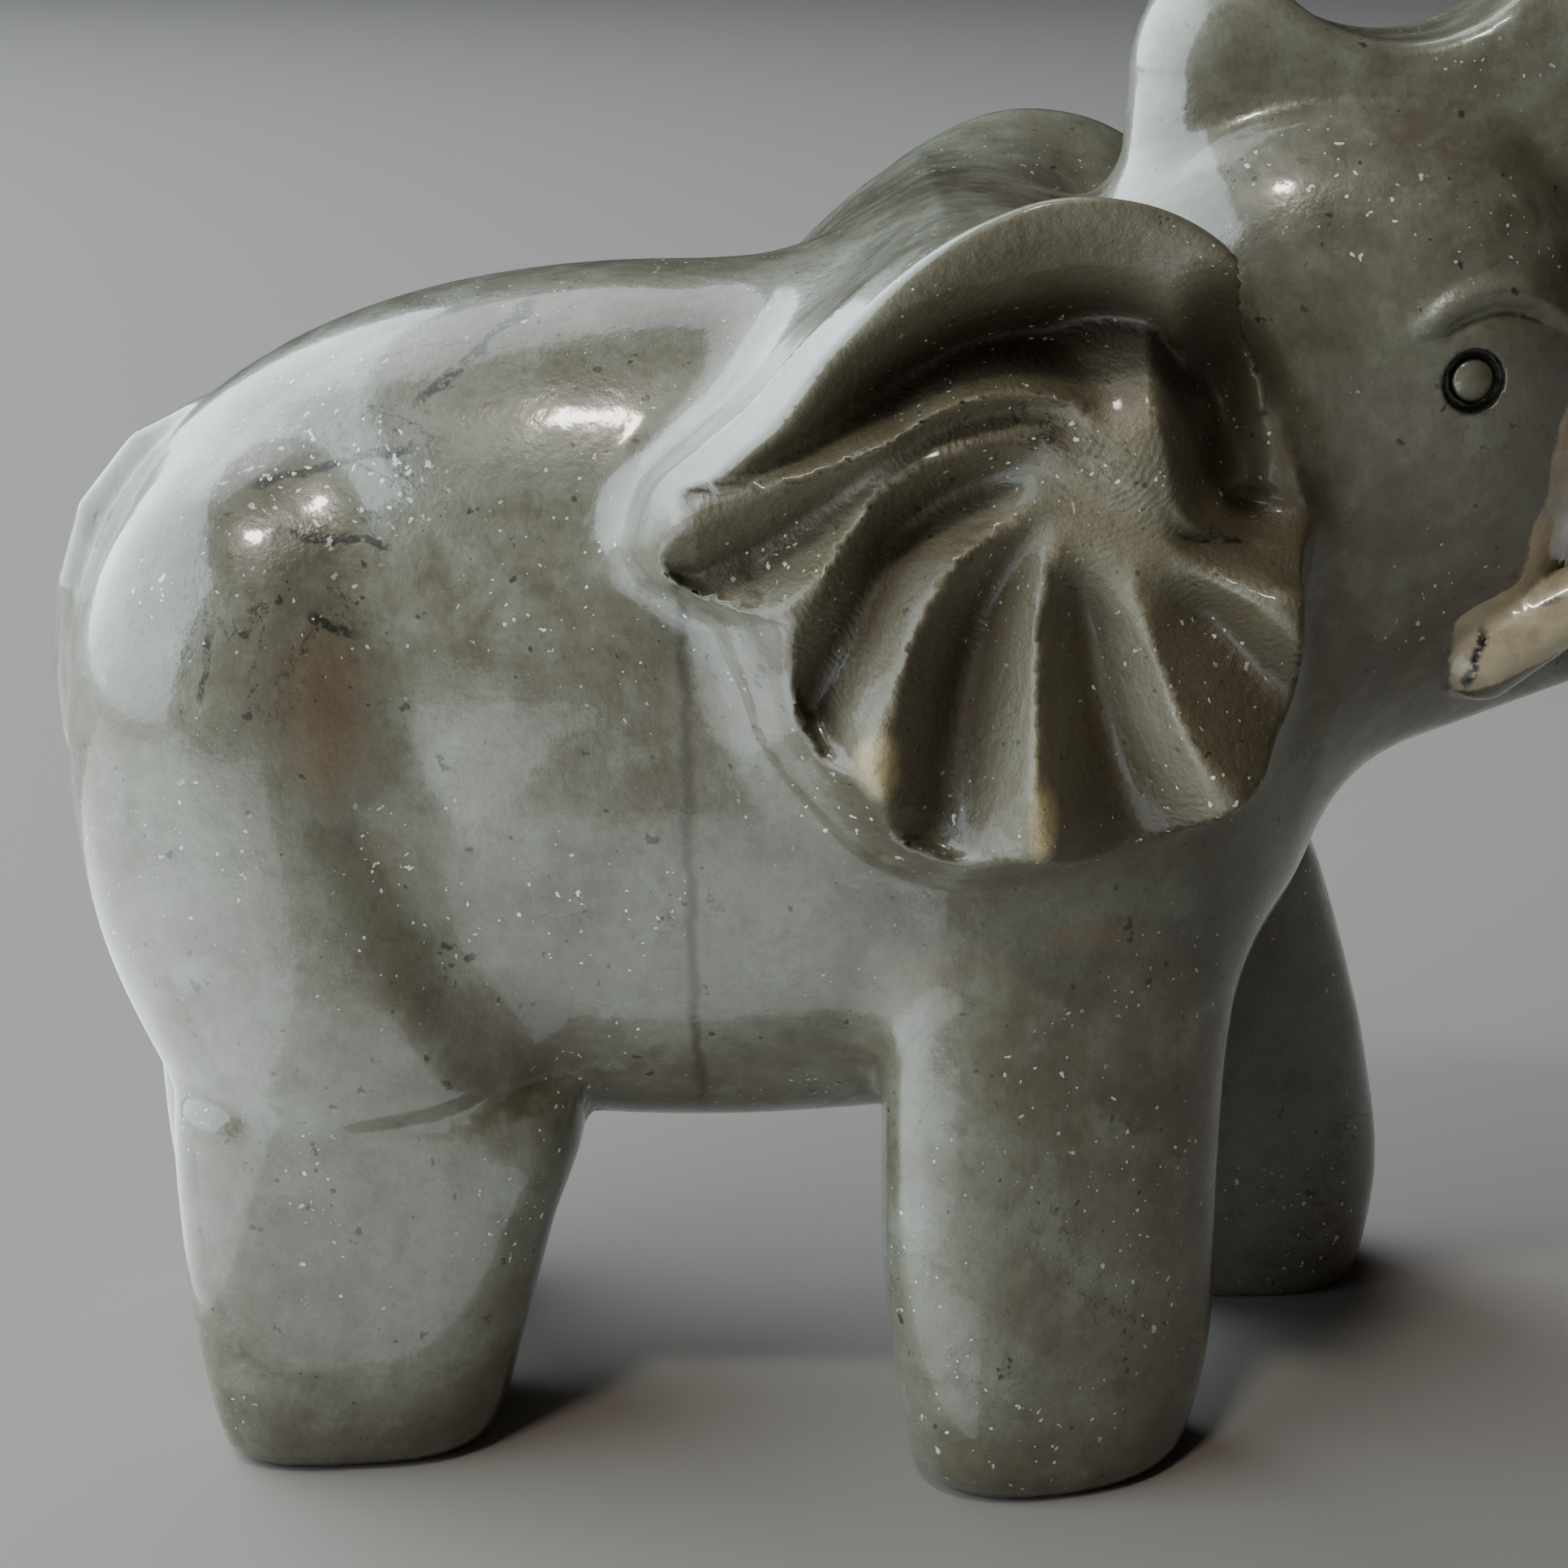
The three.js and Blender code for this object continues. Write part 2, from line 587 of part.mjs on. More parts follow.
/** Slides a point along the field's slope towards its zero surface, a short way and in its cell. */
function settle(field, start, low, high) {
  const point = [...start];
  for (let round = 0; round < 2; round += 1) {
    const here = field(...point);
    const slope = point.map((_, axis) => {
      const ahead = [...point];
      const behind = [...point];
      ahead[axis] += PROBE;
      behind[axis] -= PROBE;
      return (field(...ahead) - field(...behind)) / (2 * PROBE);
    });
    const steep = slope.reduce((sum, g) => sum + g * g, 0) + 1e-9;
    const reach = clamp(here / steep, -SETTLE / Math.sqrt(steep), SETTLE / Math.sqrt(steep));
    for (let axis = 0; axis < 3; axis += 1) {
      point[axis] = clamp(point[axis] - reach * slope[axis], low[axis], high[axis]);
    }
  }
  if (point[2] < SOLE_SNAP) point[2] = 0;
  return point;
}

const wasm = await Module();
wasm.setup();

/** A closed geometry as a solid that can be joined and cut. */
function toSolid(geometry) {
  const mesh = new wasm.Mesh({
    numProp: 3,
    vertProperties: new Float32Array(geometry.attributes.position.array),
    triVerts: new Uint32Array(geometry.index.array),
  });
  return new wasm.Manifold(mesh);
}

/** A solid back as a geometry. */
function toGeometry(solid) {
  const mesh = solid.getMesh();
  const geometry = new THREE.BufferGeometry();
  geometry.setAttribute('position', new THREE.BufferAttribute(mesh.vertProperties, 3));
  geometry.setIndex(new THREE.BufferAttribute(mesh.triVerts, 1));
  return geometry;
}

/** A closed three.js shape as a solid, matched by position alone. */
function solidOf(shape) {
  shape.deleteAttribute('normal');
  shape.deleteAttribute('uv');
  return toSolid(mergeVertices(shape, 1e-4));
}

/** Points round a quarter circle, from its first axis to its second, about (0, height). */
function quarter(across, up, height, steps = 3) {
  const points = [];
  for (let i = 0; i <= steps; i += 1) {
    const angle = (Math.PI * i) / (2 * steps);
    points.push(new THREE.Vector2(across * Math.sin(angle), height + up * Math.cos(angle)));
  }
  return points;
}

/** A shape turned about its axis, stood at a place along a direction. */
function turned(profile, segments, place, direction) {
  const shape = new THREE.LatheGeometry(profile, segments);
  const upright = new THREE.Vector3(0, 1, 0);
  shape.applyQuaternion(new THREE.Quaternion().setFromUnitVectors(upright, direction));
  shape.translate(place.x, place.y, place.z);
  return solidOf(shape);
}

/** The core drill's cut for an eye: a ring groove that leaves a domed pupil standing. */
function eyeCut(side) {
  const { x, z, outer, inner, depth, sink } = EYE;
  let [low, high] = [0, EAR_OUT.plate];
  while (high - low > 1e-3) {
    const middle = (low + high) / 2;
    if (elephant(x, side * middle, z) < 0) low = middle;
    else high = middle;
  }
  const place = new THREE.Vector3(x, side * low, z);
  const slope = [0, 1, 2].map((axis) => {
    const step = new THREE.Vector3().setComponent(axis, PROBE);
    const [ahead, behind] = [place.clone().add(step), place.clone().sub(step)];
    return elephant(...ahead.toArray()) - elephant(...behind.toArray());
  });
  const profile = quarter(inner, depth - sink, -depth);
  profile.push(new THREE.Vector2(outer, -depth), new THREE.Vector2(outer, 1), new THREE.Vector2(0, 1));
  return turned(profile, 20, place, new THREE.Vector3(...slope).normalize());
}

/** A tusk lying along one cheek, round at both ends. */
function tusk(side) {
  const [from, to] = [TUSK.from, TUSK.to].map(([x, y, z]) => new THREE.Vector3(x, side * y, z));
  const [thick, thin] = TUSK.radii;
  const root = quarter(thick, -thick, 0);
  const tip = quarter(thin, thin, from.distanceTo(to)).reverse();
  return turned([...root, ...tip], 14, from, to.clone().sub(from).normalize());
}

/** A closed solid from rings of points, shut by a point at the inner and at the outer end. */
function stacked(inner, rings, outer, side) {
  const around = rings[0].length;
  const points = [inner, ...rings.flat(), outer];
  const last = points.length - 1;
  const triangles = [];
  const face = (a, b, c) => (side > 0 ? triangles.push(a, b, c) : triangles.push(a, c, b));
  for (let j = 0; j < around; j += 1) {
    const next = (j + 1) % around;
    face(0, 1 + j, 1 + next);
    for (let low = 1; low + around < last; low += around) {
      face(low + j, low + around + j, low + around + next);
      face(low + j, low + around + next, low + next);
    }
    face(last, last - around + next, last - around + j);
  }
  const geometry = new THREE.BufferGeometry();
  geometry.setAttribute('position', new THREE.Float32BufferAttribute(points.flat(), 3));
  geometry.setIndex(triangles);
  return toSolid(geometry);
}

const spokes = FAN_SPOKES.flatMap((count, crest) => {
  return Array.from({ length: count }, (_, j) => [crest, j / count]);
});

/** The place on the fan that lies on a spoke, at a share of the rim. */
function fanPoint([crest, between], share) {
  const last = crest + 1 === CRESTS.length;
  const [from, to] = [crestAngles[crest], crestAngles[last ? 0 : crest + 1]];
  let radius = share * FAN_RADIUS;
  let angle = 0;
  for (let round = 0; round < 12; round += 1) {
    angle = mix(from(radius), to(radius) + (last ? 360 : 0), between);
    const turn = angle > 300 ? angle - 360 : angle;
    radius = mix(radius, share * earRim(turn), 0.7);
  }
  const radians = THREE.MathUtils.degToRad(angle);
  return [EAR_ROOT.x + radius * Math.cos(radians), EAR_ROOT.z + radius * Math.sin(radians)];
}

/** The crisp rim of one ear: a flat on the outline, drawn in behind so it sinks into the stone. */
function fanRim(side) {
  const rim = spokes.map((spoke) => fanPoint(spoke, 1));
  const top = rim.map(([x, z]) => {
    const out = Math.min(EAR_OUT.plate, earOut(fanPlace(x, z)) + TEMPLE.spare);
    return [x, side * out, z];
  });
  const foot = rim.map(([x, z]) => {
    const { radius, turn } = fanPlace(x, z);
    const grow = 1 + (earWall(turn) * RIM_DEPTH - RIM_TUCK) / radius;
    const out = Math.min(EAR_OUT.plate, earOut(fanPlace(x, z)) + TEMPLE.spare) - RIM_DEPTH;
    return [mix(EAR_ROOT.x, x, grow), side * out, mix(EAR_ROOT.z, z, grow)];
  });
  const middle = (out) => [EAR_ROOT.x, side * out, EAR_ROOT.z];
  return stacked(middle(EAR_OUT.foot), [foot, top], middle(EAR_OUT.plate), side);
}

/** The cut that carves one ear: its floor is the fluted face, its top is clear of the ear. */
function fanCut(side) {
  const clear = side * (EAR_OUT.plate + FAN_CLEARANCE);
  const rings = FAN_RINGS.map((share) => spokes.map((spoke) => {
    const [x, z] = fanPoint(spoke, share);
    return [x, side * earFace(x, z), z];
  }));
  rings.push(rings[rings.length - 1].map(([x, , z]) => [x, clear, z]));
  const floor = [EAR_ROOT.x, side * earFace(EAR_ROOT.x, EAR_ROOT.z), EAR_ROOT.z];
  return stacked(floor, rings, [EAR_ROOT.x, clear, EAR_ROOT.z], side);
}

/** The mouth: a wedge cut back between the tusks. */
function mouthCut() {
  const [x, z] = MOUTH.corner;
  const wedge = new THREE.Shape();
  wedge.moveTo(x, z);
  for (const degrees of [MOUTH.low, MOUTH.high]) {
    const angle = THREE.MathUtils.degToRad(degrees);
    wedge.lineTo(x + MOUTH.opening * Math.cos(angle), z + MOUTH.opening * Math.sin(angle));
  }
  wedge.closePath();
  const shape = new THREE.ExtrudeGeometry(wedge, { depth: 2 * MOUTH.half, bevelEnabled: false });
  shape.rotateX(Math.PI / 2);
  shape.translate(0, MOUTH.half, 0);
  return solidOf(shape);
}

/** The tail: a round cord lying down the middle of the rump. */
function tail() {
  const path = new THREE.CatmullRomCurve3(TAIL.map(([x, z]) => new THREE.Vector3(x, 0, z)));
  const section = new THREE.Shape();
  section.absarc(0, 0, TAIL_RADIUS, 0, Math.PI * 2);
  const settings = { steps: 16, curveSegments: 6, extrudePath: path };
  return solidOf(new THREE.ExtrudeGeometry(section, settings));
}

const xs = ladder(-42, 2.6, 49);
const ys = mirrored(ladder(0, 2.6, 26));
const zs = ladder(-5.2, 2.6, 93.6);
let stone = toSolid(skin(elephant, xs, ys, zs)).subtract(mouthCut()).add(tail());
for (const side of [-1, 1]) {
  stone = stone.add(fanRim(side)).subtract(fanCut(side));
  stone = stone.subtract(eyeCut(side)).add(tusk(side));
}
const geometry = toGeometry(stone);
geometry.translate(-MIDDLE_X, 0, 0);

const body = new THREE.Mesh(geometry, new THREE.MeshStandardMaterial(STONE));
body.name = 'elephant';

const carving = new THREE.Group();
carving.add(body);

export default carving;
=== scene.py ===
# %% [markdown]
# # A jasper elephant, carved from one stone
# This lesson dresses a small carved elephant in Blender. The CAD solid gives its size and its
# place. Here the same carving is worked out again much finer, as a field of distances, and then
# it gets the polish, the clouds and the veins of the real stone.

# %% Load the CAD frame and keep its box
import math
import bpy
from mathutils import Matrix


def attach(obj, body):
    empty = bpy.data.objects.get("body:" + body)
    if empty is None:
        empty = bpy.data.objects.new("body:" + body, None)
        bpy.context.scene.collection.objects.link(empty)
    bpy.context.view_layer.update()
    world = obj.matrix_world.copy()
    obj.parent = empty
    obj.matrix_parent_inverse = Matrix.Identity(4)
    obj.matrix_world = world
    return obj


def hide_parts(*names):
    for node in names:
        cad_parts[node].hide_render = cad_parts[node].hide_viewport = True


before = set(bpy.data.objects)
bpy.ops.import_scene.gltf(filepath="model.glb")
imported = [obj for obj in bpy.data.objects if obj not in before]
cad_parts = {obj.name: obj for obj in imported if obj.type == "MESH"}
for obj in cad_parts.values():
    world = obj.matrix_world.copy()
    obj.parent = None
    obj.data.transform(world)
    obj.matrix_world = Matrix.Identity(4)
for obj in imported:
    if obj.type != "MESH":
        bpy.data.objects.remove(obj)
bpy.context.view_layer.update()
from types import SimpleNamespace as Sizes
import bpy
import numpy as np
from mathutils import Vector

# %% [markdown]
# ## Distances that melt together
# A carver leaves no seams: one form flows into the next. It could be sculpted by hand or built
# from subdivided boxes, but both make soft joints that are hard to measure. A distance field
# does it by formula. Every mass gives the distance to its own surface, and a soft minimum melts
# two masses together, so the whole animal is a sum of short formulas. They are in millimetres.

# %% Soft minimum, soft maximum and smooth tables
def mix(a, b, t):
    """a at t = 0, b at t = 1, a straight line between."""
    return a + (b - a) * t


def ease(t):
    """The smooth step: 3 t squared minus 2 t cubed, with t held between 0 and 1."""
    t = np.clip(t, 0, 1)
    return t * t * (3 - 2 * t)


def join(a, b, k):
    """The smaller of a and b, lowered by k h (1 - h) where they are within k of each other."""
    h = np.clip(0.5 + 0.5 * (b - a) / k, 0, 1)
    return mix(b, a, h) - k * h * (1 - h)


def keep(a, b, k):
    """The larger of a and b, rounded the same way: what lies inside both."""
    return -join(-a, -b, k)


def curves(rows):
    """One curve per column against the first column: cubic pieces whose slope at a station is
    the harmonic mean of the slopes beside it, or level at a turn, so they never overshoot."""
    rows = np.array(rows, float)
    at = rows[:, 0]

    def one(values):
        rise = np.diff(values) / np.diff(at)
        product = rise[:-1] * rise[1:]
        total = np.where(product > 0, rise[:-1] + rise[1:], 1)
        slope = np.concatenate([rise[:1], np.where(product > 0, 2 * product / total, 0), rise[-1:]])

        def value(p):
            p = np.clip(p, at[0], at[-1])
            i = np.clip(np.searchsorted(at, p) - 1, 0, len(at) - 2)
            span = at[i + 1] - at[i]
            t = (p - at[i]) / span
            return (values[i] * (2 * t**3 - 3 * t**2 + 1) + span * slope[i] * (t**3 - 2 * t**2 + t)
                    + values[i + 1] * (3 * t**2 - 2 * t**3) + span * slope[i + 1] * (t**3 - t**2))
        return value
    return [one(rows[:, i]) for i in range(1, rows.shape[1])]


# %% Masses, rods and columns
LEAST_SLOPE = 0.02


def mass(at, half, square, x, y, z):
    """Squared ellipsoid: the power mean of the three shares, less 1, over its own slope."""
    q = [np.abs(x - at[0]) / half[0], np.abs(y - at[1]) / half[1], np.abs(z - at[2]) / half[2]]
    size = sum(s**square for s in q) ** (1 / square) + 1e-9
    slope = np.sqrt(sum(((s / size) ** (square - 1) / h) ** 2 for s, h in zip(q, half)))
    return (size - 1) / np.maximum(slope, LEAST_SLOPE)


def rod(start, end, radii, x, y, z):
    """Tapered rod: distance to the line between two ends, less a radius that runs between two."""
    line = np.subtract(end, start)
    away = [x - start[0], y - start[1], z - start[2]]
    t = np.clip(sum(a * b for a, b in zip(away, line)) / (line @ line), 0, 1)
    return np.sqrt(sum((a - b * t) ** 2 for a, b in zip(away, line))) - mix(radii[0], radii[1], t)


def column(rows, square, top, soft, turn=0.0):
    """Upright column: a squared ellipse whose rear, front, outer and inner edges are curves of
    the height, kept below its top."""
    edges = curves(rows)

    def distance(x, y, z):
        rear, front, outer, inner = [edge(z) for edge in edges]
        half_x, half_y = (front - rear) / 2, (outer - inner) / 2
        dx = x - (rear + front) / 2
        qx = np.abs(dx) / half_x
        qy = np.abs(y + turn * dx - (outer + inner) / 2) / half_y
        size = np.maximum((qx**square + qy**square) ** (1 / square), 1e-9)
        slope = np.hypot((qx / size) ** (square - 1) / half_x, (qy / size) ** (square - 1) / half_y)
        return keep((size - 1) / np.maximum(slope, 1.5 * LEAST_SLOPE), z - top, soft)
    return distance


print("a rod 2 mm thick, 5 mm away:", rod((0, 0, 0), (9, 0, 0), (1, 1), 0, 6, 0))


# %% [markdown]
# ## The body
# Barrel, chest and neck are three masses. The haunch is a hip over a knee, cut off below where
# it laps over the leg. Each leg is an upright column, because its outline is easiest to give as
# four edges at a few heights. The near hind and the far front leg are forward in the walk.

# %% Sizes of the masses and the legs
# A mass: its middle, its half sizes and its squareness, 2 for an ellipsoid
BARREL = ((-4.6, 0, 37.5), (32.2, 15.8, 22.4), 2.25)
CHEST = ((10, 0, 39.5), (17, 15.2, 20), 2.2)
NECK = ((15, 0, 48), (14, 12, 13.6), 2)
SKULL = ((28, 0, 54.6), (13, 11.7, 14.6), 2.5)
HIP = ((-25.6, 7.2, 36), (9.4, 8.8, 15), 2.1)
KNEE = ((-21.2, 8.1, 23.8), (10.2, 8.7, 10.8), 2.2)
FOREHEAD = ((31, 0, 66), (9, 9, 9), 2.4)
HIND_STRIDE = -4.2
HIP_SHARE, KNEE_SHARE = 0.4, 0.6
# Below a sloping line the haunch steps in by the inset, so that it laps over the leg
LAP = Sizes(rear=-30, z=17.6, rise=0.16, edge=1.2, inset=1.2, melt=4)
# The crease in front of the haunch: a rod taken out of the flank
CREASE = ((-20.2, 17.6, 35), (-11.6, 16.4, 19.8), (0.5, 1.5))
# Rows of a leg: height, then its rear, front, outer and inner edge
hind_leg = column([
    (0, -28.3, -15.9, 14.2, 3.8), (1, -29.1, -14.9, 14.9, 3.3), (6, -30.1, -13.4, 15.5, 3.0),
    (12, -30.7, -11.8, 15.8, 3.0), (17, -30.9, -10.2, 15.7, 2.5), (24, -30.6, -9.6, 15.0, 2.0),
], 3, 20.4, 2, 0.11)
near_front_leg = column([
    (0, 7.8, 20.2, 17.6, 7.0), (1.4, 6.6, 21.0, 18.3, 6.4), (7, 5.5, 22.1, 18.2, 6.0),
    (14, 4.9, 22.3, 17.2, 5.5), (20, 4.9, 22.6, 16.2, 5.0), (30, 5.6, 24.2, 14.8, 3.0),
], 2.3, 33, 8, 0.26)
far_front_leg = column([
    (0, 19.0, 32.4, 17.6, 7.0), (1.4, 18.0, 33.2, 18.3, 6.4), (7, 16.6, 33.9, 18.3, 6.0),
    (14, 14.2, 32.9, 17.6, 5.5), (20, 11.2, 31.4, 17.0, 5.0), (30, 6.5, 28.2, 16.2, 3.0),
], 2.8, 33, 8)


def haunch(x, side, z, stride):
    """Hip and knee melted together, drawn back by the stride."""
    hip = mass(*HIP, x - stride * HIP_SHARE, side, z)
    knee = mass(*KNEE, x - stride * KNEE_SHARE, side, z)
    line = LAP.z + LAP.rise * (x - LAP.rear)
    lap = keep(join(hip, knee, 6), line - z, LAP.edge)
    skin = mass(*HIP, x - stride * HIP_SHARE, side + LAP.inset, z)
    return join(lap, skin, LAP.melt)


print("haunch at its hip", round(float(haunch(-25.6, 7.2, 36, 0)), 2), "mm: inside")

# %% [markdown]
# ## Head, crown and raised trunk
# The crown, the saddle behind the trunk and the trunk itself are one plate, thinner than the
# skull, with a round notch sawn out. They are held between two planes, as a slab of stone is,
# and the trunk is a column as the legs are. The tusks lie along the cheeks by the open mouth.

# %% Head
trunk = column([
    (48, 31.0, 44.6, 7.2, -7.2), (56, 31.5, 45.4, 6.6, -6.6), (63, 32.6, 45.3, 5.7, -5.7),
    (70, 34.4, 45.0, 5.1, -5.1), (75, 36.5, 44.9, 4.8, -4.8), (79, 37.7, 45.0, 4.4, -4.4),
    (83, 38.6, 45.3, 4.1, -4.1), (87, 39.8, 45.7, 3.9, -3.9), (91, 41.0, 46.4, 3.7, -3.7),
], 2.3, 89.6, 2.5)
SADDLE = Sizes(x=30, z=79.2, radius=8, edge=0.8)
# A rod: its two ends and its radius at each
JAW = ((28, 0, 43.4), (41.6, 0, 40.9), (10.6, 2.7))
CROWN = ((24.6, 0, 60), (23.6, 0, 69.6), (8.2, 6.4))
PLATE_HALF = Sizes(low=5.4, high=4.4, thins_from=66, over=18, edge=1.2)
TRUNK_FOOT = 48
TUSK = ((35, 6.3, 41), (41.4, 6.4, 44.9), (2.3, 1.6))
MOUTH = Sizes(x=39.4, z=42.8, low=14, high=40, half=5.4, edge=0.5)
TAIL = [
    (-27.6, 50.4), (-29.8, 51.2), (-32.4, 49.9), (-34.9, 46.8), (-36.1, 43.0), (-36.5, 39.0),
    (-36.3, 36.0), (-35.6, 32.6),
]
TAIL_RADIUS = 1.55
EYE = Sizes(x=33.1, z=55.7, ring=1.3, half_line=0.24, deep=0.8, pupil=1.1, sunk=0.02, dome=0.36)
BROW = Sizes(x=34.4, z=55.3, radius=4.1, above=57.4, lid=0.32, ridge=0.42)
CHEEK = 5


def head(x, y, z):
    """Skull and jaw, with the plate of crown, forehead and trunk held to its thickness."""
    side = np.abs(y)
    skull = join(mass(*SKULL, x, y, z), rod(*JAW, x, y, z), 4)
    plate = join(rod(*CROWN, x, y, z), keep(trunk(x, y, z), TRUNK_FOOT - z, 4), 3)
    plate = join(plate, mass(*FOREHEAD, x, y, z), 2.5)
    plate = keep(plate, SADDLE.radius - np.hypot(x - SADDLE.x, z - SADDLE.z), SADDLE.edge)
    thinner = ease((z - PLATE_HALF.thins_from) / PLATE_HALF.over)
    half = mix(PLATE_HALF.low, PLATE_HALF.high, thinner)
    return join(skull, keep(plate, side - half, PLATE_HALF.edge), 0.9)


def mouth(x, y, z):
    """Wedge between the tusks: inside two planes from its corner, and within its half width."""
    dx, dz = x - MOUTH.x, z - MOUTH.z
    low, high = math.radians(MOUTH.low), math.radians(MOUTH.high)
    under = dx * math.sin(low) - dz * math.cos(low)
    over = dz * math.cos(high) - dx * math.sin(high)
    return keep(keep(under, over, MOUTH.edge), np.abs(y) - MOUTH.half, MOUTH.edge)


def tail(x, y, z):
    """A cord down the middle: the nearest of the rods between its places."""
    places = [(px, 0, pz) for px, pz in TAIL]
    rods = [rod(a, b, (TAIL_RADIUS, TAIL_RADIUS), x, y, z) for a, b in zip(places, places[1:])]
    return np.minimum.reduce(rods)


def brow(x, side, z):
    """Height to take off over the eye: a groove inside an arc and a ridge just outside it."""
    arc = np.hypot(x - BROW.x, z - BROW.z) - BROW.radius
    above = ease((z - BROW.above) / 1.2) * (side > CHEEK)
    groove = BROW.lid * ease(1 - np.abs(arc + 0.5) / 0.8)
    return above * (groove - BROW.ridge * ease(1 - np.abs(arc - 0.6) / 1.1))


print("tail", len(TAIL), "places, eye ring", 2 * EYE.ring, "mm across")

# %% [markdown]
# ## The ears
# An ear is a block with an outline, carved on its face with a round tool that was drawn from the
# rim to the root. Cutting each channel with a swept shape would need a route for each. Instead
# the face is one height over the middle plane, given by the angle and the radius about the
# ear's root: flutes that deepen away from their crests, under a hood that curls over them, with
# a mound at the root and a deep recess by the temple.

# %% The ear's outline, wall, crests and flutes
EAR_ROOT = (16.4, 51.4)
# The outline and the slope of its wall, by the angle in degrees: radius, and shift per mm of depth
ear_rim, = curves([
    (-60, 13.9), (-54, 13.1), (-34, 9.6), (-15, 8.6), (0, 7.6), (20, 7.2), (35, 8.2), (45, 9.2),
    (61, 11.2), (77, 13.0), (93, 14.2), (109, 14.9), (125, 15.1), (145, 15.5), (157, 16.2),
    (166, 17.0), (174, 18.9), (180, 20.8), (186, 21.3), (190, 20.6), (194, 18.7), (199, 17.1),
    (206, 17.0), (214, 17.6), (226, 18.0), (235, 18.5), (244, 18.3), (256, 17.6), (265, 17.1),
    (276, 16.4), (286, 15.7), (296, 14.7), (300, 13.9),
])
ear_wall, = curves([
    (-60, 0), (0, 0), (40, -0.15), (70, -0.3), (90, -0.4), (108, -0.2), (126, 0), (145, 0.22),
    (165, 0.42), (180, 0.6), (200, 0.9), (222, 0.8), (245, 0.55), (268, 0.2), (300, 0),
])
# The mound's edge at the recess: height z, and its place x
mound_edge, = curves([
    (44, 25), (48.2, 24.5), (48.8, 22), (49.4, 20.2), (50.4, 18.8), (52, 18), (54, 17.6),
    (57, 17.3), (60, 17.2), (70, 17.2),
])
# Each crest between two channels, as radius and angle about the root, and how steeply the
# stone falls away above and below it
CRESTS = [
    [(5, 122), (7.8, 140), (10.5, 157), (12, 166), (15.7, 175), (20.6, 181)],
    [(5, 148), (7, 158), (9.8, 170), (12, 179), (13.5, 187), (15, 193), (18, 201)],
    [(4.5, 188), (6.2, 194), (8.6, 200), (11.6, 210), (14.4, 219), (18.1, 228)],
    [(4, 212), (6.3, 228), (8.9, 240), (11.5, 247), (14.5, 252), (17, 255)],
    [(4, 272), (8.6, 280), (11.2, 283), (14, 287), (17, 291)],
    [(2, 306), (4, 314), (6, 323), (8, 328), (11, 330)],
]
crest_angle = [curves(rows)[0] for rows in CRESTS]
STEEP_ABOVE = [2.4, 1.15, 1.15, 1.15, 1.15, 1.15]
STEEP_BELOW = [1.15, 1.15, 1.15, 1.15, 1.15, 2.2]
# The deepest cut, and the width of the rim's gentle roll, by the angle
deepest, = curves([
    (-60, 4.2), (-38, 3.6), (-22, 1.0), (0, 0.5), (30, 1.0), (45, 3.2), (62, 5.6), (80, 6.8),
    (150, 6.6), (170, 5.2), (186, 4.2), (300, 4.2),
])
flange, = curves([
    (-60, 0), (30, 0.8), (45, 1.6), (62, 2.6), (85, 3.3), (115, 3.0), (140, 1.0), (155, 0.2),
    (300, 0),
])
CHANNEL = Sizes(lean=0.88, sharp=0.12, round=1.4, root=2.2, until=5)
HOOD = Sizes(start=12, grow=16, end=184, fade=8, lean=0.92, gentle=0.45, steep=1.35, round=2.4, none=12)
EAR_OUT = Sizes(root=17.2, rim=20.9, plate=20.3, rise_from=0.2, over_face=0.8, sloped=3.2, under=12.3)
TEMPLE = Sizes(drop=7.5, start=-44, end=66, span=36, radius=2, over=4)
RECESS = Sizes(x=20.9, z=54.4, half_x=3.7, half_z=6.4, floor=10.9, mouth=17.0, lean=6,
               square=2.4, curl=1.7)
MOUND = Sizes(height=18.3, top=54.8, top_fall=0.9, foot=50.5, foot_fall=0.45, steep=2.4, gentle=0.22)
print("ear:", len(CRESTS), "crests, widest radius", round(float(ear_rim(186)), 1), "mm")


def cut_depth(radius, turn, share):
    """Depth of the carving: the distance to the nearest crest times its steepness, rounded
    where two crests are equally near, held to a deepest cut, and drawn up to the hood's rim."""
    depth = deepest(turn)
    for i, crest in enumerate(crest_angle):
        around = (turn - crest(radius) + 180) % 360 - 180
        away = np.hypot(radius * np.radians(around) * CHANNEL.lean, CHANNEL.sharp)
        steep = np.where(around < 0, STEEP_ABOVE[i], STEEP_BELOW[i])
        depth = join(depth, away * steep, CHANNEL.round)
    depth = np.maximum(depth, 0) * ease((radius - CHANNEL.root) / CHANNEL.until)
    inset = (1 - share) * radius / share * HOOD.lean
    rolled = flange(turn)
    rim = HOOD.gentle * np.minimum(inset, rolled) + HOOD.steep * np.maximum(inset - rolled, 0)
    hood = ease((turn - HOOD.start) / HOOD.grow) * ease((HOOD.end - turn) / HOOD.fade)
    return join(depth, rim + HOOD.none * (1 - hood), HOOD.round)


# %% The carved face and the stone behind it
def fan_place(x, z):
    """Radius, angle from -60 to 300 degrees and share of the rim, about the ear's root."""
    dx, dz = x - EAR_ROOT[0], z - EAR_ROOT[1]
    radius = np.hypot(dx, dz) + 1e-6
    turn = np.degrees(np.arctan2(dz, dx))
    turn = np.where(turn < -60, turn + 360, turn)
    return radius, turn, radius / ear_rim(turn)


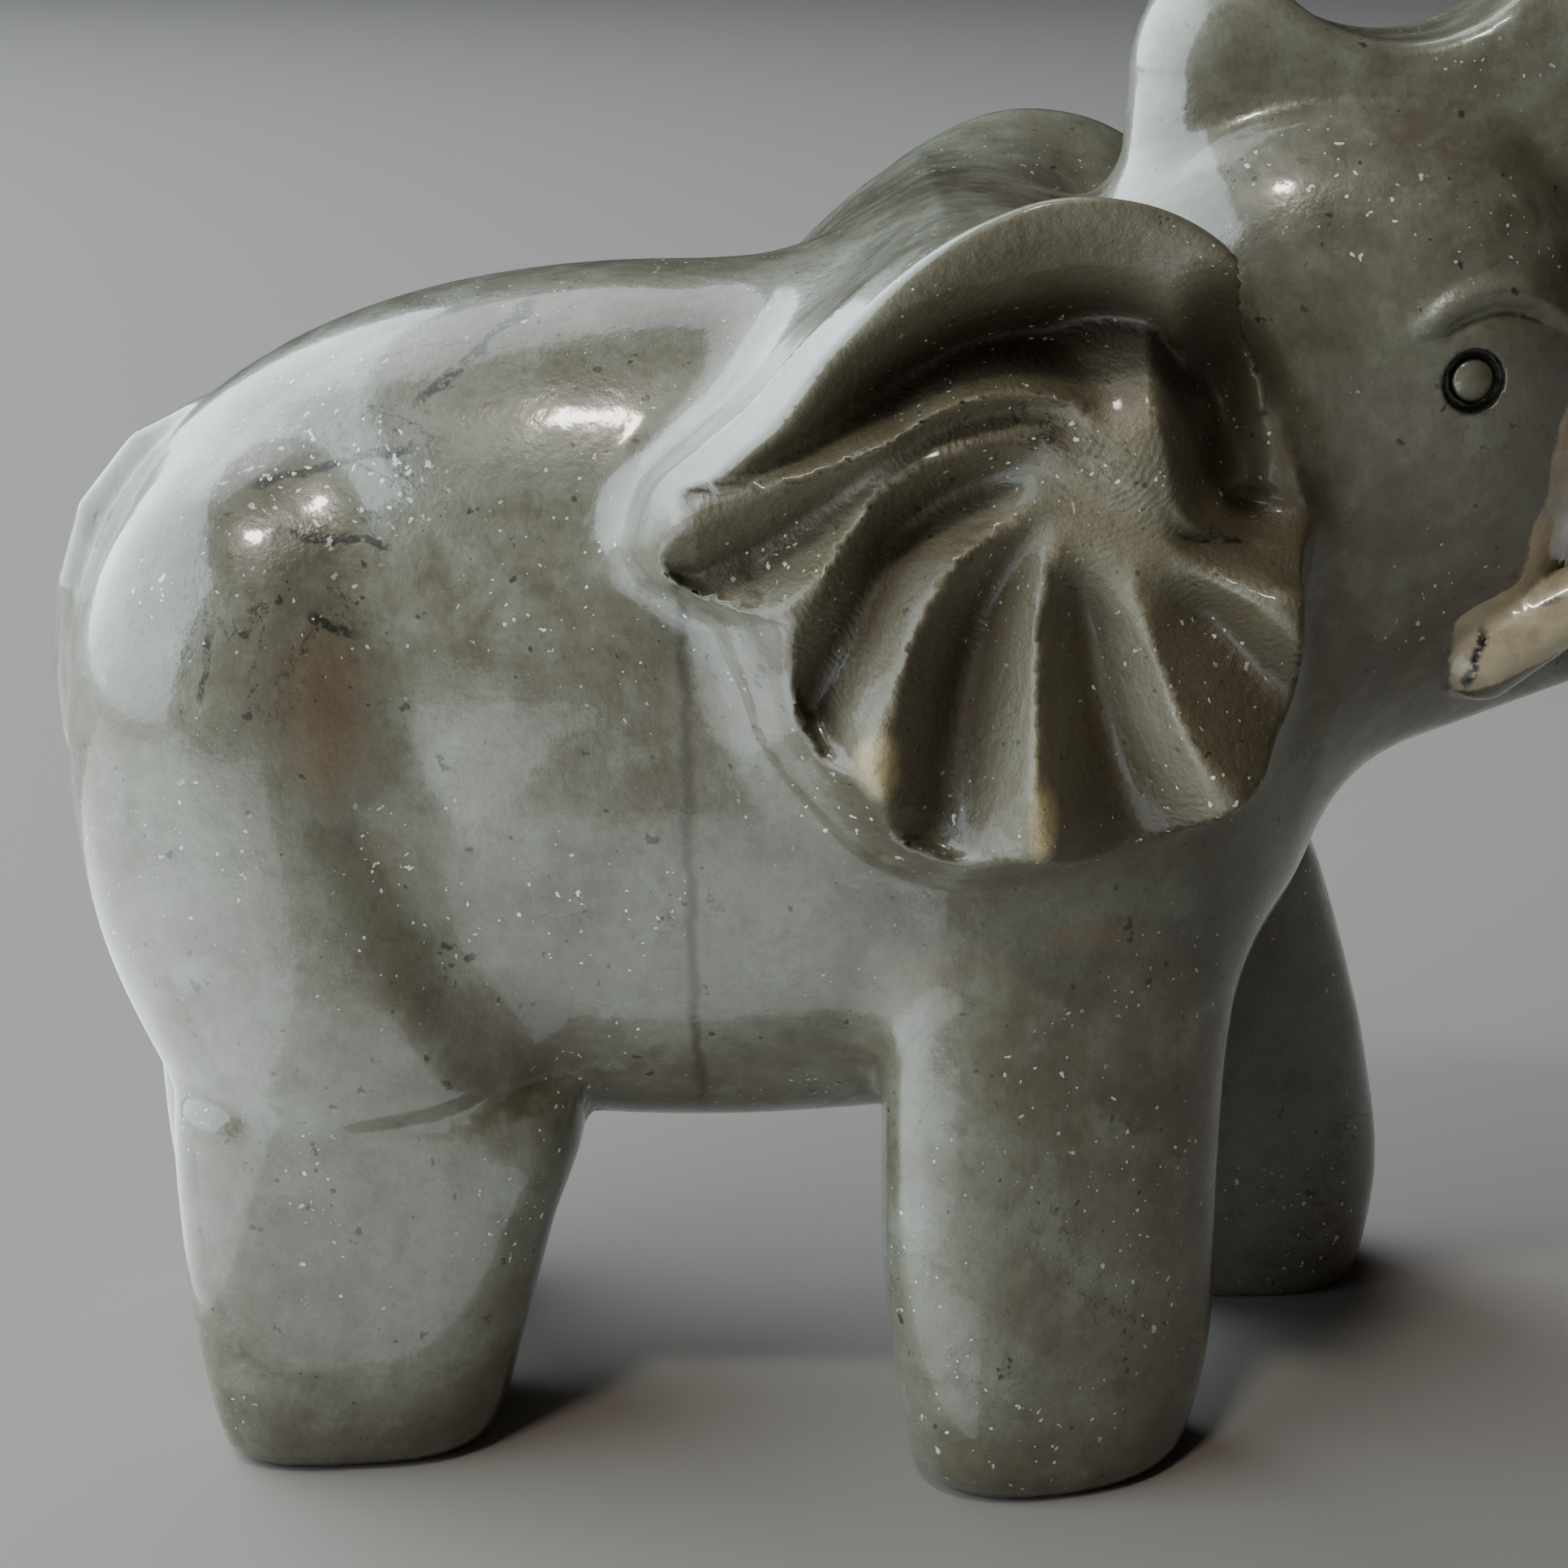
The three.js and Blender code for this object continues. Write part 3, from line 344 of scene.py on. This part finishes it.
def ear_out(radius, turn, share):
    """Height before carving: it rises to the rim and runs down toward the temple."""
    toward = ease((turn - TEMPLE.start) / TEMPLE.span) * ease((TEMPLE.end - turn) / TEMPLE.span)
    low = TEMPLE.drop * toward * ease((radius - TEMPLE.radius) / TEMPLE.over)
    rise = ease((share - EAR_OUT.rise_from) / (1 - EAR_OUT.rise_from))
    return mix(EAR_OUT.root, EAR_OUT.rim, rise) - low


def ear_face(x, z):
    """Height less the cuts, joined with the recess's bowl, kept above the root's sloping mound."""
    radius, turn, share = fan_place(x, z)
    carved = ear_out(radius, turn, share) - cut_depth(radius, turn, share)
    lean = math.radians(RECESS.lean)
    dx, dz = x - RECESS.x, z - RECESS.z
    across = np.abs(dx * math.cos(lean) + dz * math.sin(lean)) / RECESS.half_x
    up = np.abs(dz * math.cos(lean) - dx * math.sin(lean)) / RECESS.half_z
    size = (across**RECESS.square + up**RECESS.square) ** (RECESS.curl / RECESS.square)
    hollow = mix(RECESS.floor, RECESS.mouth, size)
    right = x - mound_edge(z)
    behind = 0.04 * np.minimum(right, 0) ** 2 - MOUND.gentle * right
    mound = MOUND.height - keep(MOUND.steep * right, behind, 1)
    mound = mound - keep(MOUND.top_fall * (z - MOUND.top), 0, 1.5)
    mound = mound - keep(MOUND.foot_fall * (MOUND.foot - z), 0, 1)
    mound = mound - 0.55 * np.maximum(mound_edge(z) - 17.8, 0)
    return keep(join(carved, hollow, 1.6), mound, 1.2)


def ear_stone(x, side, z):
    """The ear's block: inside its outline, whose wall slopes with depth, and below its flat."""
    radius, turn, share = fan_place(x, z)
    wall = ear_wall(turn)
    reach = np.where(wall > 0, EAR_OUT.sloped, EAR_OUT.under)
    wall = wall * np.clip(EAR_OUT.plate - side, 0, reach)
    flat = np.minimum(EAR_OUT.plate, ear_out(radius, turn, share) + EAR_OUT.over_face)
    return keep(radius - ear_rim(turn) - wall, side - flat, 0.7)


def eye_cut(stone, x, z):
    """The stone less a drilled ring, with a domed pupil sunk inside it."""
    drill = np.hypot(x - EYE.x, z - EYE.z)
    ring = keep(np.abs(drill - EYE.ring) - EYE.half_line, -(stone + EYE.deep), 0.15)
    sunk = keep(drill - EYE.pupil, -(stone + EYE.sunk + EYE.dome * drill**2), 0.1)
    return keep(keep(stone, -ring, 0.12), -sunk, 0.12)


# %% The whole elephant
MELT = Sizes(chest=6, neck=5, head=4, haunch=1.8, crease=3, hind=0.9, front=2.2, ear=3.2, tail=0.7,
             tusk=0.6, cut=0.4, sole=0.5)
PAST_RIM = 1.06


def elephant(x, y, z):
    """Every mass melted into the next, then the cuts: mouth, ear faces, eyes and soles."""
    side = np.abs(y)
    stone = join(mass(*BARREL, x, y, z), mass(*CHEST, x, y, z), MELT.chest)
    stone = join(stone, mass(*NECK, x, y, z), MELT.neck)
    stone = join(stone, head(x, y, z), MELT.head)
    stone = join(stone, haunch(x, -y, z, 0), MELT.haunch)
    stone = join(stone, haunch(x, y, z, HIND_STRIDE), MELT.haunch)
    stone = keep(stone, -rod(*CREASE, x, side, z), MELT.crease)
    stone = join(stone, hind_leg(x, -y, z), MELT.hind)
    stone = join(stone, hind_leg(x - HIND_STRIDE, y, z), MELT.hind)
    stone = join(stone, near_front_leg(x, -y, z), MELT.front)
    stone = join(stone, far_front_leg(x, y, z), MELT.front)
    stone = join(stone, ear_stone(x, side, z), MELT.ear)
    stone = join(stone, tail(x, y, z), MELT.tail)
    stone = keep(stone, -mouth(x, y, z), MOUTH.edge)
    stone = stone + brow(x, side, z)
    stone = join(stone, rod(*TUSK, x, side, z), MELT.tusk)
    radius, turn, share = fan_place(x, z)
    # The face is steep in places, so its distance is scaled down
    carved = keep((ear_face(x, z) - side) * 0.6, (share - PAST_RIM) * 9, MELT.cut)
    stone = keep(stone, -carved, MELT.cut)
    stone = np.where(side > CHEEK, eye_cut(stone, x, z), stone)
    return keep(stone, -z, MELT.sole)


print("middle of the barrel", round(float(elephant(-4.6, 0, 37.5)), 1), "mm: inside")

# %% [markdown]
# ## From the field to a mesh
# A volume remesh in Blender would round the crests of the ear. A surface net keeps them: it
# puts one point in each grid cell that the surface crosses, at the mean of the crossings on the
# cell's edges, and one quad round each crossed grid line. All of it is whole array work. The
# points then slide down the field's slope onto the true surface, and the slope gives each point
# its normal, so the polish reflects without facets. Grid lines are closer at the head, the ears
# and most of all the eyes.

# %% Grid, net and slope
def ladder(start, *stretches):
    """Grid lines from a start, then pairs of a step and where it ends."""
    lines = [np.array([start])]
    for step, until in zip(stretches[::2], stretches[1::2]):
        low = lines[-1][-1]
        count = max(1, round((until - low) / step))
        lines.append(np.linspace(low, until, count + 1)[1:])
    return np.concatenate(lines)


def sample(field, xs, ys, zs, skip=4, band=4.0):
    """The field on the grid: first every few lines, then in full only near the surface."""
    rough_at = [np.unique(np.append(np.arange(0, len(a), skip), len(a) - 1)) for a in (xs, ys, zs)]
    rough = field(*np.meshgrid(*[a[i] for a, i in zip((xs, ys, zs), rough_at)], indexing="ij"))
    nearest = [np.abs(np.arange(len(a))[:, None] - i[None]).argmin(1)
               for a, i in zip((xs, ys, zs), rough_at)]
    full = rough[np.ix_(*nearest)]
    i, j, k = np.nonzero(np.abs(full) < band)
    full[i, j, k] = field(xs[i], ys[j], zs[k])
    return full


def surface_net(value, xs, ys, zs):
    """Points at the mean crossing of each crossed cell, and a quad for each crossed grid line."""
    lines = (xs, ys, zs)
    shape = tuple(n - 1 for n in value.shape)
    total = np.zeros(shape + (3,))
    count = np.zeros(shape)
    crossings = []
    for axis in range(3):
        low = [slice(None)] * 3
        high = [slice(None)] * 3
        low[axis], high[axis] = slice(0, -1), slice(1, None)
        a, b = value[tuple(low)], value[tuple(high)]
        crossed = (a < 0) != (b < 0)
        t = np.where(crossed, a / np.where(crossed, a - b, 1), 0)
        crossings.append((crossed, a < 0))
        u, v = [n for n in range(3) if n != axis]
        for du in (0, 1):
            for dv in (0, 1):
                part = [slice(None)] * 3
                part[u] = slice(du, du + shape[u])
                part[v] = slice(dv, dv + shape[v])
                here, share = crossed[tuple(part)], t[tuple(part)]
                count += here
                for n in range(3):
                    line = lines[n]
                    if n == axis:
                        base, step = line[:-1], np.diff(line)
                    else:
                        offset = du if n == u else dv
                        base, step = line[offset:offset + shape[n]], np.zeros(shape[n])
                    size = [1, 1, 1]
                    size[n] = shape[n]
                    total[..., n] += here * (base.reshape(size) + step.reshape(size) * share)
    used = count > 0
    number = np.full(shape, -1)
    number[used] = np.arange(used.sum())
    points = total[used] / count[used][:, None]
    quads = []
    for axis, (crossed, starts_inside) in enumerate(crossings):
        at = np.array(np.nonzero(crossed))
        u, v = (axis + 1) % 3, (axis + 2) % 3
        inner = (at[u] > 0) & (at[v] > 0) & (at[u] < shape[u]) & (at[v] < shape[v])
        at = at[:, inner]
        ring = []
        for du, dv in ((-1, -1), (0, -1), (0, 0), (-1, 0)):
            cell = at.copy()
            cell[u] += du
            cell[v] += dv
            ring.append(number[tuple(cell)])
        ring = np.array(ring).T
        outward = starts_inside[tuple(at)]
        quads.append(np.where(outward[:, None], ring, ring[:, ::-1]))
    return points, np.concatenate(quads)


def slope_of(field, points, step=0.1):
    """Gradient by central differences: ahead less behind along each axis, over twice the step."""
    parts = []
    for axis in range(3):
        move = np.zeros(3)
        move[axis] = step
        parts.append(field(*(points + move).T) - field(*(points - move).T))
    return np.stack(parts, 1) / (2 * step)


def settle(field, points, rounds=3, reach=0.25):
    """Newton's step along the slope, held to a short reach, a few times."""
    for _ in range(rounds):
        slope = slope_of(field, points, 0.05)
        steep = (slope**2).sum(1) + 1e-9
        move = field(*points.T) / steep
        limit = reach / np.sqrt(steep)
        points = points - np.clip(move, -limit, limit)[:, None] * slope
    return points


# %% Skin the elephant
# The frame's origin is under the middle of the box, and the formulas' is MIDDLE_X behind it
MIDDLE_X = 3.72
COARSE, FINE, EYE_STEP = ((0.76, 0.47, 0.2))
xs = ladder(-42, COARSE, -8, FINE, 31.2, EYE_STEP, 35.1, FINE, 37.5, COARSE, 49)
half_y = ladder(0, COARSE, 9.6, EYE_STEP, 12.2, FINE, 22.5)
ys = np.concatenate([-half_y[:0:-1], half_y])
zs = ladder(-3, COARSE, 32, FINE, 53.7, EYE_STEP, 57.7, FINE, 67, COARSE, 93)
value = sample(elephant, xs, ys, zs)
points, quads = surface_net(value, xs, ys, zs)
points = settle(elephant, points)
points[:, 2] = np.maximum(points[:, 2], 0)
normals = slope_of(elephant, points)
normals /= np.linalg.norm(normals, axis=1, keepdims=True) + 1e-9
print("grid", value.shape, "points", len(points), "triangles", 2 * len(quads))

# %% Put it into a mesh
mesh = bpy.data.meshes.new("elephant_stone")
placed = (points - [MIDDLE_X, 0, 0]) / 1000
mesh.from_pydata(placed.tolist(), [], quads.tolist())
mesh.polygons.foreach_set("use_smooth", np.ones(len(quads), bool))
mesh.validate()
mesh.normals_split_custom_set_from_vertices(normals.tolist())

px, py, pz = points.T
radius, turn, share = fan_place(px, pz)
out = np.abs(py)
on_face = ease(1.6 - 2 * np.abs(ear_face(px, pz) - out)) * ease((PAST_RIM - share) / 0.05)
drill = np.hypot(px - EYE.x, pz - EYE.z)
near_eye = (out > CHEEK) & (out < 14)
marks = {
    "drilled": near_eye * ease((0.42 - np.abs(drill - EYE.ring)) / 0.2),
    "pupil": near_eye * ease((1.05 - drill) / 0.15),
    "carved": on_face * (out > 9),
    "deep": on_face * np.clip((ear_out(radius, turn, share) - out) / 6, 0, 1),
}
for name, values in marks.items():
    mesh.attributes.new(name, "FLOAT", "POINT").data.foreach_set("value", values.astype(np.float32))
mesh.update()
carving = bpy.data.objects.new("elephant_stone", mesh)
bpy.context.scene.collection.objects.link(carving)
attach(carving, "root")
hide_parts("elephant")
print("carving", [round(v * 1000, 1) for v in carving.dimensions])

# %% [markdown]
# ## The stone
# This jasper is olive grey and cloudy, with dark specks, a few branching dark veins and a cream
# patch at the tusk. A painted picture would need unwrapping and would smear at the edges. Here
# all of it is worked out from the place in the stone, so a vein runs through an edge as it does
# in the real block. A small class lets the masks be written as sums.

# %% Sockets that can be added and multiplied
class Socket:
    """A shader value: + - * / and power add a Math node each."""

    def __init__(self, tree, output):
        self.tree, self.output = tree, output

    def math(self, operation, *others):
        node = self.tree.nodes.new("ShaderNodeMath")
        node.operation = operation
        for slot, item in zip(node.inputs, (self, *others)):
            if isinstance(item, Socket):
                self.tree.links.new(item.output, slot)
            else:
                slot.default_value = item
        return Socket(self.tree, node.outputs[0])

    def __add__(self, other):
        return self.math("ADD", other)

    def __sub__(self, other):
        return self.math("SUBTRACT", other)

    def __rsub__(self, other):
        return (self * -1) + other

    def __mul__(self, other):
        return self.math("MULTIPLY", other)

    def __truediv__(self, other):
        return self.math("DIVIDE", other)

    def __pow__(self, other):
        return self.math("POWER", other)

    __radd__ = __add__
    __rmul__ = __mul__

    def high(self, other):
        return self.math("MAXIMUM", other)


class Shader:
    """One material's tree: node() adds any node by type, with settings, then values or links."""

    def __init__(self, name):
        self.material = bpy.data.materials.new(name)
        self.material.use_nodes = True
        self.tree = self.material.node_tree
        self.tree.nodes.clear()

    def node(self, kind, output=0, settings=None, **inputs):
        node = self.tree.nodes.new("ShaderNode" + kind)
        for key, value in (settings or {}).items():
            setattr(node, key, value)
        for key, value in inputs.items():
            by_number = key[0] == "i" and key[1:].isdigit()
            slot = node.inputs[int(key[1:]) if by_number else key.replace("_", " ")]
            if isinstance(value, Socket):
                self.tree.links.new(value.output, slot)
            else:
                slot.default_value = value
        if output is None:
            return node
        return Socket(self.tree, node.outputs[output])

    def span(self, value, low, high):
        """0 below the low value, 1 above the high one, smooth between."""
        return self.node("MapRange", settings={"interpolation_type": "SMOOTHSTEP"}, Value=value,
                         From_Min=low, From_Max=high)

    def blend(self, share, first, second):
        """A colour between two, by a share."""
        return self.node("Mix", 2, settings={"data_type": "RGBA"}, i0=share, i6=first, i7=second)

    def noise(self, where, scale, detail=4.0, rough=0.55, twist=0.0):
        return self.node("TexNoise", 0, Vector=where, Scale=scale, Detail=detail, Roughness=rough,
                         Distortion=twist)


# %% Place in the stone, colours and marks of the mesh
stone = Shader("jasper")
place = stone.node("TexCoord", 3)
axes = stone.node("SeparateXYZ", None, Vector=place)
X, Y, Z = [Socket(stone.tree, axes.outputs[i]) * 1000 for i in range(3)]
X = X + MIDDLE_X
side = Y.math("ABSOLUTE")
near = stone.span(Y * -1, 0, 1)
sway = stone.noise(place, 420, 3, 0.6) - 0.5


def colour(r, g, b):
    """A colour from its 0 to 255 values, made linear by the power 2.2."""
    return tuple((v / 255) ** 2.2 for v in (r, g, b)) + (1.0,)


def mark(name):
    """A value that the mesh carries at each point."""
    return stone.node("Attribute", 2, settings={"attribute_name": name})


carved, deep, drilled, pupil = [mark(name) for name in ("carved", "deep", "drilled", "pupil")]
print("marks from the mesh:", ", ".join(marks))


# %% Lines, spots and rings at a place
def stroke(start, end, width, soft=0.5):
    """1 on a line between two places x, z on the near side: near it across and between its ends."""
    length = math.dist(start, end)
    run, rise = (end[0] - start[0]) / length, (end[1] - start[1]) / length
    dx, dz = X - start[0], Z - start[1]
    across = (dx * rise - dz * run + sway * 1.2).math("ABSOLUTE")
    along = (dx * run + dz * rise - length / 2).math("ABSOLUTE")
    inside = 1 - stone.span(along, length / 2 - 0.6, length / 2 + 0.4)
    return (1 - stone.span(across, width * soft, width)) * inside * near


def spot(x, z, half_x, half_z, soft=0.5):
    """1 within an ellipse about a place on the near side, fading to its wavy edge."""
    away = ((X - x) / half_x) ** 2 + ((Z - z) / half_z) ** 2 + sway * 1.5
    return (1 - stone.span(away, soft, 1)) * near


def rings_about(x, z, per_mm, waver):
    """Waves of a distance: the sine of the way from a place x, z, with a wavy error."""
    return (((X - x) ** 2 + (Z - z) ** 2) ** 0.5 * per_mm + sway * waver).math("SINE")


print("strokes and spots ready")

# %% Clouds, rust, the browner stone inside the ear, and painted shade in its cuts
cloud = stone.noise(place, 75, 5, 0.6, 0.6)
patch = stone.noise(place, 230, 5, 0.65, 0.4)
mottle = stone.noise(place, 640, 4, 0.7)
grain = stone.noise(place, 2600, 4, 0.7)
base = stone.blend(stone.span(cloud, 0.34, 0.66), colour(83, 76, 62), colour(107, 105, 93))
base = stone.blend(stone.span(patch, 0.5, 0.72) * 0.5, base, colour(126, 130, 118))
base = stone.blend(stone.span(mottle, 0.5, 0.68) * 0.4, base, colour(74, 70, 57))
base = stone.blend(stone.span(mottle, 0.5, 0.32) * 0.2, base, colour(126, 128, 114))
rust = stone.span(stone.noise(place, 48, 4, 0.6, 1.2), 0.58, 0.78)
hip_stain, leg_stain = spot(-21.8, 40, 2.6, 5, 0.1), spot(15.4, 28.9, 2.6, 1.0)
rust = rust.high(hip_stain * 0.8).high(leg_stain * 0.9)
base = stone.blend(rust * 0.6, base, colour(112, 92, 72))
base = stone.blend(carved * 0.7, base, colour(90, 81, 61))
# Painted shade: the carved face is made darker the deeper it is cut, for the shade in the ear's
# channels and bowl
base = stone.blend(carved * stone.span(deep, 0.1, 0.8) * 0.85, base, colour(56, 46, 33))
# Painted highlight: the crests between the channels are made paler, as where they catch the light
crest = carved * (1 - stone.span(deep, 0.02, 0.12))
base = stone.blend(crest * stone.span(patch, 0.4, 0.6) * 0.3, base, colour(146, 134, 104))
cream = spot(12.2, 36.2, 0.9, 2.6, 0).high(spot(4.5, 38.9, 1.4, 2.1, 0))
base = stone.blend(cream * 0.75, base, colour(178, 160, 120))
base = stone.blend(stone.span(grain, 0.5, 0.72) * 0.4, base, colour(72, 68, 54))
print("stone with", len(stone.tree.nodes), "nodes so far")

# %% Veins, specks, and white dots of dust and painted glints
band = stroke((-4.9, 48), (-4.2, 16), 0.5, 0.1)
base = stone.blend(band * 0.7, base, colour(58, 52, 42))
threads = (stone.noise(place, 95, 6, 0.7, 1.0) - 0.5).math("ABSOLUTE")
veins = (1 - stone.span(threads, 0.002, 0.01)) * stone.span(stone.noise(place, 60, 2), 0.56, 0.7)
VEINS = [
    ((-17.8, 54.4), (-12.2, 58.8), 0.3), ((-25.8, 50.5), (-17.8, 52.6), 0.28),
    ((-26, 48.9), (-18.8, 48.1), 0.26), ((-22.8, 45), (-20.5, 44.1), 0.3),
    ((-27.5, 44.2), (-27.9, 41), 0.24),
]
for start, end, width in VEINS:
    veins = veins.high(stroke(start, end, width))
base = stone.blend(veins * stone.span(grain, 0.36, 0.5) * 0.85, base, colour(36, 36, 34))
specks = stone.span(stone.noise(place, 1100, 2, 0.6), 0.685, 0.72)
base = stone.blend(specks * 0.75, base, colour(40, 37, 30))
# White dots: partly dust and partly painted glints, the highlights of small pits; the denser patch on
# the haunch is all painted glints
dust_and_glint_cloud = stone.span(stone.noise(place, 120, 2, 0.5), 0.42, 0.62)
dots = stone.noise(place, 2600, 1, 0.4)
dust_and_glints = stone.span(dots, 0.715, 0.75) * dust_and_glint_cloud
dust_and_glints = dust_and_glints.high(stone.span(dots, 0.66, 0.7) * spot(-22, 51, 6.5, 3.4, 0))
base = stone.blend(dust_and_glints * 0.85, base, colour(214, 216, 210))
print(len(VEINS), "veins and", len(stone.tree.nodes), "nodes so far")

# %% Cream stone at the tusks, and the eye
# The cream starts right of an edge that steps back above the mouth, and over a sloping line
edge_x = stone.span(Z, 43.2, 45.4) * 3.1 + (Z - 45).high(0) * 0.2 + 33.3
line_z = (X - 33.2) * 0.44 + 39
right_of = stone.span(X - edge_x + sway * 1.4, -0.12, 0.12)
tusk = right_of * stone.span(Z - line_z + sway, -0.12, 0.12)
tusk = tusk * (1 - stone.span(Z, 56, 60)) * stone.span(side, 2.6, 3.4)
ivory = stone.blend(stone.span(patch, 0.4, 0.6), colour(160, 143, 121), colour(184, 172, 143))
base = stone.blend(tusk, base, ivory)
pits = stroke((33.9, 39.7), (34.9, 42.8), 0.42, 0.2)
pits = pits.high(stroke((37.6, 43.9), (38.6, 44.5), 0.3, 0.2))
base = stone.blend(pits * stone.span(grain, 0.4, 0.5), base, colour(16, 14, 12))
base = stone.blend(drilled * 0.9, base, colour(22, 20, 16))
base = stone.blend(pupil * 0.6, base, colour(96, 90, 76))
print("tusk and eye,", len(stone.tree.nodes), "nodes so far")

# %% Polish and tool marks
worn = stone.span(stone.noise(place, 420, 4, 0.65), 0.35, 0.7)
rough = worn * 0.16 + 0.26 + carved * 0.14 - pupil * 0.12
scraped = stone.span(stone.noise(place, 190, 2, 0.5), 0.46, 0.66) * carved
rings = rings_about(13.5, 55, 15, 26) * scraped
arcs = rings_about(19, 55, 8, 6) * spot(24.6, 57, 3.4, 6.5, 0.3) * (1 - carved)
dome = rings_about(33, 57, 9, 4) * spot(32, 67, 6.5, 2.6, 0.3)
fine = stone.noise(place, 1500, 4, 0.65) + rings * 0.07 + arcs * 0.1 + dome * 0.06
bump = stone.node("Bump", 0, Strength=carved * 0.3 + 0.16, Distance=0.0003, Height=fine)
ripple = stone.noise(place, 700, 3, 0.55) + arcs * 0.2 + dome * 0.2
gloss = stone.node("Bump", 0, Strength=0.07, Distance=0.0003, Height=ripple)
surface = stone.node("BsdfPrincipled", 0, Base_Color=base, Roughness=rough, Normal=bump, IOR=1.54,
                     Coat_Weight=0.75 - carved * 0.45, Coat_Roughness=0.09, Coat_Normal=gloss)
stone.node("OutputMaterial", None, Surface=surface)
carving.data.materials.append(stone.material)
print("jasper", len(stone.tree.nodes), "nodes")

# %% [markdown]
# ## Floor, light and camera
# The view is close and a little from above, and most of the light comes from the left and behind.
# Polish mirrors its surroundings, so the lights matter as much as the colour. Sunlight or a sky
# picture would be simpler, but only large rectangles of light give sharp pale shapes on polished
# stone. Two of them lie on the floor, for the light that a bright surface throws back up.

# %% Floor
REACH = 6.0
corners = [(-REACH, -REACH, 0), (REACH, -REACH, 0), (REACH, REACH, 0), (-REACH, REACH, 0)]
floor_mesh = bpy.data.meshes.new("floor")
floor_mesh.from_pydata(corners, [], [(0, 1, 2, 3)])
floor = bpy.data.objects.new("floor", floor_mesh)
bpy.context.scene.collection.objects.link(floor)
pale = Shader("pale_floor")
matte = pale.node("BsdfPrincipled", 0, Base_Color=(0.235, 0.212, 0.196, 1), Roughness=0.85)
pale.node("OutputMaterial", None, Surface=matte)
floor_mesh.materials.append(pale.material)
print("floor", 2 * REACH, "m wide")


# %% Lights
def softbox(name, at, toward, size, power, tint):
    """A rectangular lamp that faces a point."""
    light = bpy.data.lights.new(name, "AREA")
    light.shape = "RECTANGLE"
    light.size, light.size_y = size
    light.energy = power
    light.color = tint
    lamp = bpy.data.objects.new(name, light)
    lamp.location = at
    lamp.visible_camera = False
    lamp.rotation_euler = (Vector(toward) - Vector(at)).to_track_quat("-Z", "Y").to_euler()
    bpy.context.scene.collection.objects.link(lamp)


COOL, DAY, WARM = (0.84, 0.95, 1.0), (0.8, 0.95, 1.0), (1.0, 0.9, 0.8)
softbox("window", (-0.66, 0.1, 0.34), (0, 0, 0.06), (1.8, 1.0), 32, DAY)
softbox("sill", (-0.19, -0.12, 0.002), (-0.19, -0.12, 1), (0.29, 0.36), 0.7, COOL)
softbox("bounce", (-0.05, -0.062, 0.0018), (-0.05, -0.062, 1), (0.11, 0.08), 0.03, COOL)
softbox("skylight", (-0.25, 0.35, 0.8), (0, 0, 0.05), (0.7, 0.5), 3, (0.9, 0.96, 1.0))
softbox("room", (-0.15, -0.8, 0.3), (0, 0, 0.05), (0.9, 0.4), 0.3, WARM)
softbox("lamp", (-0.1, -0.28, 0.55), (0, 0, 0.05), (0.07, 0.05), 1.2, (1.0, 0.92, 0.8))
world = bpy.data.worlds.new("room")
bpy.context.scene.world = world
world.use_nodes = True
world.node_tree.nodes["Background"].inputs[0].default_value = (0.2, 0.18, 0.16, 1)
world.node_tree.nodes["Background"].inputs[1].default_value = 0.1
print("lights:", ", ".join(light.name for light in bpy.data.lights))

# %% Camera
PITCH, VIEW = 16, 24
CAMERA_BACK, CAMERA_UP = 0.1865, 0.0859
lens = bpy.data.cameras.new("camera")
lens.sensor_width = 36
lens.lens = lens.sensor_width / 2 / math.tan(math.radians(VIEW / 2))
lens.clip_start = 0.01
camera = bpy.data.objects.new("camera", lens)
camera.location = (-MIDDLE_X / 1000, -CAMERA_BACK, CAMERA_UP)
camera.rotation_euler = (math.radians(90 - PITCH), 0, 0)
bpy.context.scene.collection.objects.link(camera)
bpy.context.scene.camera = camera
print("camera", tuple(camera.location), "lens", round(lens.lens, 2))
